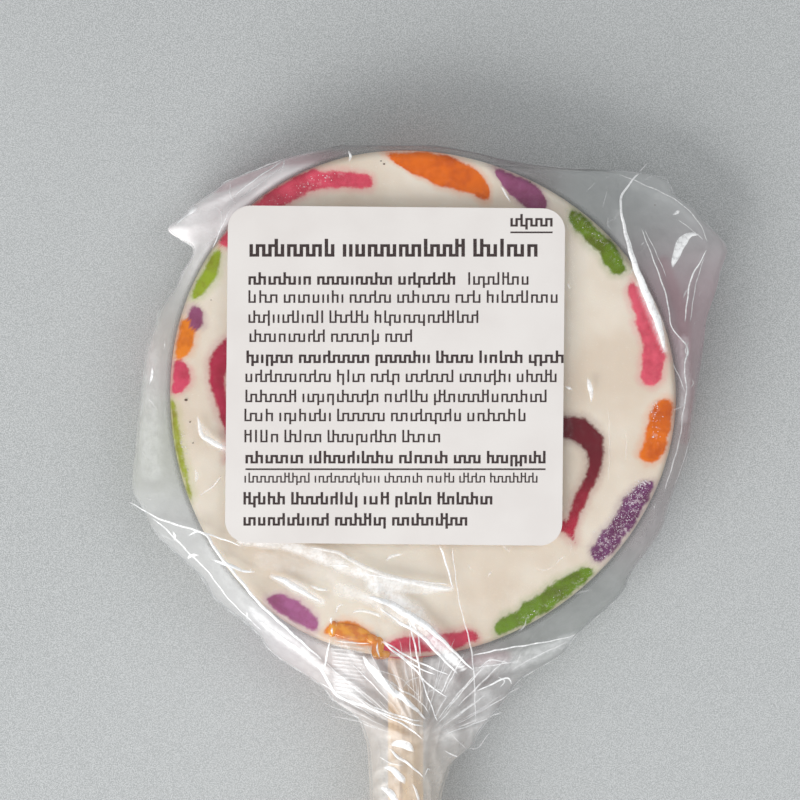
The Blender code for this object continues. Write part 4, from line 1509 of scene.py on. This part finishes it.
# Lines of the label, in the photograph's pixels: middle, left and right end, height, and their weight
PRINT_LINES = (
    (223, 510, 552, 15, 0.62), (251, 250, 537, 20, 0.70), (281, 249, 455, 15, 0.66),
    (281, 468, 528, 15, 0.42), (299, 249, 557, 15, 0.42), (319, 249, 478, 15, 0.42),
    (338, 250, 412, 15, 0.42), (359, 247, 563, 15, 0.66), (378, 246, 556, 15, 0.42),
    (398, 246, 546, 15, 0.42), (417, 245, 525, 15, 0.42), (438, 245, 440, 15, 0.42),
    (459, 246, 545, 15, 0.66), (479, 245, 537, 12, 0.40), (500, 244, 492, 15, 0.66),
    (521, 244, 467, 15, 0.66),
)
UNDERLINES = ((233, 510, 552), (469, 246, 545))
UNDERLINE_WIDTH = 1.6 * PHOTO_STEP
# Print, in shares of a line's height: a word's body in small and in large lines, the step of its strokes,
# how far some strokes rise above the body or reach below it, the length of words, and their gap
LARGE_PRINT = 18 * PHOTO_STEP
SMALL_BODY, LARGE_BODY = 0.56, 0.62
STROKE_STEP = 0.31
RISE, RISE_CHANCE = 0.27, 0.2
REACH, REACH_CHANCE = 0.2, 0.06
WORD_LENGTHS = (1.6, 6.2)
WORD_GAP = 0.42
# Bars between strokes: how often there is one, and its thickness as a share of a stroke's
BAR_CHANCE = 0.8
BAR_SHARE = 0.8


class LabelLooks(bpy.types.PropertyGroup):
    """Sizes and colours of the label."""

    paper: bpy.props.FloatVectorProperty(
        name="Paper", description="Colour of the label's paper", subtype="COLOR", size=3,
        min=0, max=1, default=srgb(231, 226, 222),
    )
    ink: bpy.props.FloatVectorProperty(
        name="Ink", description="Colour of the print", subtype="COLOR", size=3,
        min=0, max=1, default=srgb(44, 31, 31),
    )
    thickness: bpy.props.FloatProperty(
        name="Thickness", description="Thickness of the paper and its glue", unit="LENGTH",
        default=0.12 * MM, min=0.05 * MM, max=0.25 * MM, precision=5,
    )


def paper_finish(looks):
    """Coated white paper with a faint cloudiness."""
    made = Finish("label_coated_paper")
    cloud = made.noise(130, 3)
    fibre = made.noise(3800, 3, 0.65)
    base = made.mix(made.remap(cloud, 0.3, 0.75), looks.paper[:], srgb(225, 219, 215))
    base = made.mix(made.remap(fibre, 0.62, 0.8) * 0.3, base, srgb(214, 208, 204))
    return made.shade({
        "Base Color": base, "Roughness": made.remap(fibre, 0.3, 0.7, 0.42, 0.55),
        "Normal": made.bump(fibre, 0.22, 0.00003),
    })


def ink_finish(looks):
    """Thermal print, a little uneven."""
    made = Finish("label_ink")
    fade = made.noise(5200, 2, 0.6)
    return made.shade({
        "Base Color": made.mix(made.remap(fade, 0.35, 0.75), looks.ink[:], srgb(76, 62, 60)),
        "Roughness": made.remap(fade, 0.3, 0.7, 0.4, 0.55),
    })


def turned_label(x, y):
    """Points in the label's own axes, put where the label lies."""
    cos, sin = math.cos(LABEL_TURN), math.sin(LABEL_TURN)
    return LABEL_X + x * cos - y * sin, LABEL_Y + x * sin + y * cos


def label_mesh(looks):
    """The label: a rounded square sheet that follows the film, with its thickness."""
    bm = bmesh.new()
    bmesh.ops.create_grid(bm, x_segments=1, y_segments=1, size=LABEL_SIDE / 2)
    bmesh.ops.bevel(
        bm, geom=bm.verts[:], offset=LABEL_CORNER, segments=10, profile=0.5, affect="VERTICES",
        material=-1,
    )
    for i in range(1, LABEL_CUTS):
        place = LABEL_SIDE * (i / LABEL_CUTS - 0.5)
        for spot_on, way in (((place, 0, 0), (1, 0, 0)), ((0, place, 0), (0, 1, 0))):
            geom = bm.verts[:] + bm.edges[:] + bm.faces[:]
            bmesh.ops.bisect_plane(bm, geom=geom, dist=1e-7, plane_co=spot_on, plane_no=way)
    low = bm.verts[:]
    raised = bmesh.ops.extrude_face_region(bm, geom=bm.faces[:])
    top = [item for item in raised["geom"] if isinstance(item, bmesh.types.BMVert)]
    for verts, lift in ((low, 0), (top, looks.thickness)):
        u, v, _ = points_of(verts)
        x, y = turned_label(u, v)
        move_to(verts, x, y, label_bottom(x, y) + lift)
    bmesh.ops.recalc_face_normals(bm, faces=bm.faces[:])
    return bm


def print_word(bm, draw, start, width, middle, height, weight):
    """One word of the print: a meander with some taller strokes and gaps, no letters."""
    stroke = (0.06 + 0.16 * weight) * height
    body = (SMALL_BODY if height < LARGE_PRINT else LARGE_BODY) * height
    bar = stroke * BAR_SHARE
    count = max(2, round(width / (STROKE_STEP * height)))
    pitch = (width - stroke) / (count - 1)
    low, at_top = middle - body / 2, draw.random() < 0.5
    for i in range(count):
        top = low + body + (RISE * height if draw.random() < RISE_CHANCE else 0)
        foot = low - (REACH * height if draw.random() < REACH_CHANCE else 0)
        bars = [(start, foot, stroke, top - foot)]
        if i < count - 1 and draw.random() < BAR_CHANCE:
            bars.append((start + stroke, low + body - bar if at_top else low, pitch - stroke, bar))
            at_top = not at_top
        for left, bottom, wide, tall in bars:
            made = bmesh.ops.create_grid(bm, x_segments=1, y_segments=1, size=0.5)
            for vert in made["verts"]:
                vert.co = (left + (vert.co.x + 0.5) * wide, bottom + (vert.co.y + 0.5) * tall, 0)
        start += pitch


def print_mesh(looks):
    """The label's lines as meanders, thin on its face."""
    draw = random.Random(23)
    bm = bmesh.new()
    for py, left, right, height, weight in PRINT_LINES:
        (x, y), (end, _) = spot(left, py), spot(right, py)
        tall = height * PHOTO_STEP
        while end - x > WORD_LENGTHS[0] / 2 * tall:
            width = min(draw.uniform(*WORD_LENGTHS) * tall, end - x)
            if end - x - width < WORD_LENGTHS[0] * tall:
                width = end - x
            print_word(bm, draw, x, width, y, tall, weight)
            x += width + WORD_GAP * tall
    for py, left, right in UNDERLINES:
        (x, y), (end, _) = spot(left, py), spot(right, py)
        made = bmesh.ops.create_grid(bm, x_segments=12, y_segments=1, size=0.5)
        for vert in made["verts"]:
            vert.co = (x + (vert.co.x + 0.5) * (end - x), y + vert.co.y * UNDERLINE_WIDTH, 0)
    low = bm.verts[:]
    raised = bmesh.ops.extrude_face_region(bm, geom=bm.faces[:])
    top = [item for item in raised["geom"] if isinstance(item, bmesh.types.BMVert)]
    for verts, lift in ((low, -0.01 * MM), (top, 0.012 * MM)):
        x, y, _ = points_of(verts)
        move_to(verts, x, y, label_bottom(x, y) + looks.thickness + lift)
    bmesh.ops.recalc_face_normals(bm, faces=bm.faces[:])
    return bm


class LOLLIPOP_OT_label(bpy.types.Operator):
    """Makes the paper label and the meanders printed on it"""

    bl_idname = "lollipop.label"
    bl_label = "Label"

    def execute(self, context):
        looks = context.scene.lollipop_label
        paper = add_piece("paper_label", label_mesh(looks), paper_finish(looks), False)
        settle(paper, "label_paper", "label")
        settle(add_piece("label_print", print_mesh(looks), ink_finish(looks), False), None)
        return {"FINISHED"}


# Stage

# Soft boxes: their place, width and height
KEY_BOX = ((-0.40, -0.56, 0.31), 0.56, 0.44)
FILL_BOX = ((0.50, 0.16, 0.48), 0.24, 0.40)
SKY_COLOUR = (0.96, 0.98, 1.0)
FLOOR_HALF = 1.5
FLOOR_GAP = 0.1 * MM


class StageLooks(bpy.types.PropertyGroup):
    """Floor, lights and camera."""

    floor: bpy.props.FloatVectorProperty(
        name="Floor", description="Colour of the floor", subtype="COLOR", size=3,
        min=0, max=1, default=srgb(200, 202, 202),
    )
    key: bpy.props.FloatProperty(
        name="Key", description="Power of the key light", default=6.7, min=0, max=100, unit="POWER",
    )
    fill: bpy.props.FloatProperty(
        name="Fill", description="Power of the fill light", default=0.9, min=0, max=100, unit="POWER",
    )
    sky: bpy.props.FloatProperty(
        name="Sky", description="Strength of the even light all round", default=0.53, min=0, max=5,
    )
    lens: bpy.props.FloatProperty(
        name="Lens", description="Focal length in millimetres", default=120, min=20, max=300,
    )


def floor_finish(looks):
    """Plain pale board with a fine grain."""
    made = Finish("pale_board")
    grain = made.noise(8200, 2, 0.6)
    cloud = made.noise(14, 2)
    base = made.mix(made.remap(grain, 0.36, 0.64), srgb(158, 161, 161), looks.floor[:])
    base = made.mix(made.remap(cloud, 0.3, 0.7) * 0.15, base, srgb(204, 206, 206))
    return made.shade({
        "Base Color": base, "Roughness": 0.75, "Normal": made.bump(grain, 0.15, 0.00005),
    })


def add_light(name, power, place, wide, high):
    """A soft box that looks at the candy's middle."""
    data = bpy.data.lights.new(name, "AREA")
    data.shape = "RECTANGLE"
    data.size, data.size_y = wide, high
    data.energy = power
    light = bpy.data.objects.new(name, data)
    light.location = place
    light.rotation_euler = (-Vector(place)).to_track_quat("-Z", "Y").to_euler()
    bpy.context.scene.collection.objects.link(light)


def add_camera(looks):
    """Straight above the candy, framed as the photograph is."""
    data = bpy.data.cameras.new("camera")
    data.lens = looks.lens
    data.clip_start = 0.01
    side = PHOTO_SIDE * PHOTO_STEP
    camera = bpy.data.objects.new("camera", data)
    middle = spot(PHOTO_SIDE / 2, PHOTO_SIDE / 2)
    camera.location = (*middle, CANDY_TOP + side * looks.lens / data.sensor_width)
    bpy.context.scene.collection.objects.link(camera)
    bpy.context.scene.camera = camera


class LOLLIPOP_OT_stage(bpy.types.Operator):
    """Sets up the floor, the lights and the camera"""

    bl_idname = "lollipop.stage"
    bl_label = "Stage"

    def execute(self, context):
        looks = context.scene.lollipop_stage
        bm = bmesh.new()
        bmesh.ops.create_grid(bm, x_segments=4, y_segments=4, size=FLOOR_HALF)
        bmesh.ops.translate(bm, verts=bm.verts[:], vec=(0, 0, -FLOOR_GAP))
        add_piece("floor", bm, floor_finish(looks))
        add_light("key", looks.key, *KEY_BOX)
        add_light("fill", looks.fill, *FILL_BOX)
        world = bpy.data.worlds.new("studio")
        world.use_nodes = True
        sky = world.node_tree.nodes["Background"]
        sky.inputs["Color"].default_value = (*SKY_COLOUR, 1)
        sky.inputs["Strength"].default_value = looks.sky
        context.scene.world = world
        context.scene.view_settings.view_transform = "Standard"
        add_camera(looks)
        return {"FINISHED"}


# Add-on

GROUPS = {
    "lollipop_candy": CandyLooks,
    "lollipop_stick": StickLooks,
    "lollipop_film": FilmLooks,
    "lollipop_creases": CreaseAndHighlightLooks,
    "lollipop_label": LabelLooks,
    "lollipop_stage": StageLooks,
}
STEPS = (
    LOLLIPOP_OT_candy,
    LOLLIPOP_OT_sugar,
    LOLLIPOP_OT_stick,
    LOLLIPOP_OT_film,
    LOLLIPOP_OT_creases_and_highlights,
    LOLLIPOP_OT_seal,
    LOLLIPOP_OT_label,
    LOLLIPOP_OT_stage,
)


class LOLLIPOP_PT_panel(bpy.types.Panel):
    """Lists the lollipop's sizes, colours and steps"""

    bl_idname = "LOLLIPOP_PT_panel"
    bl_label = "Lollipop"
    bl_space_type = "VIEW_3D"
    bl_region_type = "UI"
    bl_category = "Lollipop"

    def draw(self, context):
        for name, group in GROUPS.items():
            box = self.layout.box()
            box.label(text=name.replace("lollipop_", "").title())
            for key in group.__annotations__:
                box.prop(getattr(context.scene, name), key)
        for step in STEPS:
            self.layout.operator(step.bl_idname)


def register():
    for name, group in GROUPS.items():
        bpy.utils.register_class(group)
        setattr(bpy.types.Scene, name, bpy.props.PointerProperty(type=group))
    for made in (*STEPS, LOLLIPOP_PT_panel):
        bpy.utils.register_class(made)


def unregister():
    for made in (LOLLIPOP_PT_panel, *STEPS[::-1]):
        bpy.utils.unregister_class(made)
    for name, group in GROUPS.items():
        delattr(bpy.types.Scene, name)
        bpy.utils.unregister_class(group)


def main():
    register()
    for step in STEPS:
        part, action = step.bl_idname.split(".")
        getattr(getattr(bpy.ops, part), action)()


if __name__ == "__main__":
    main()
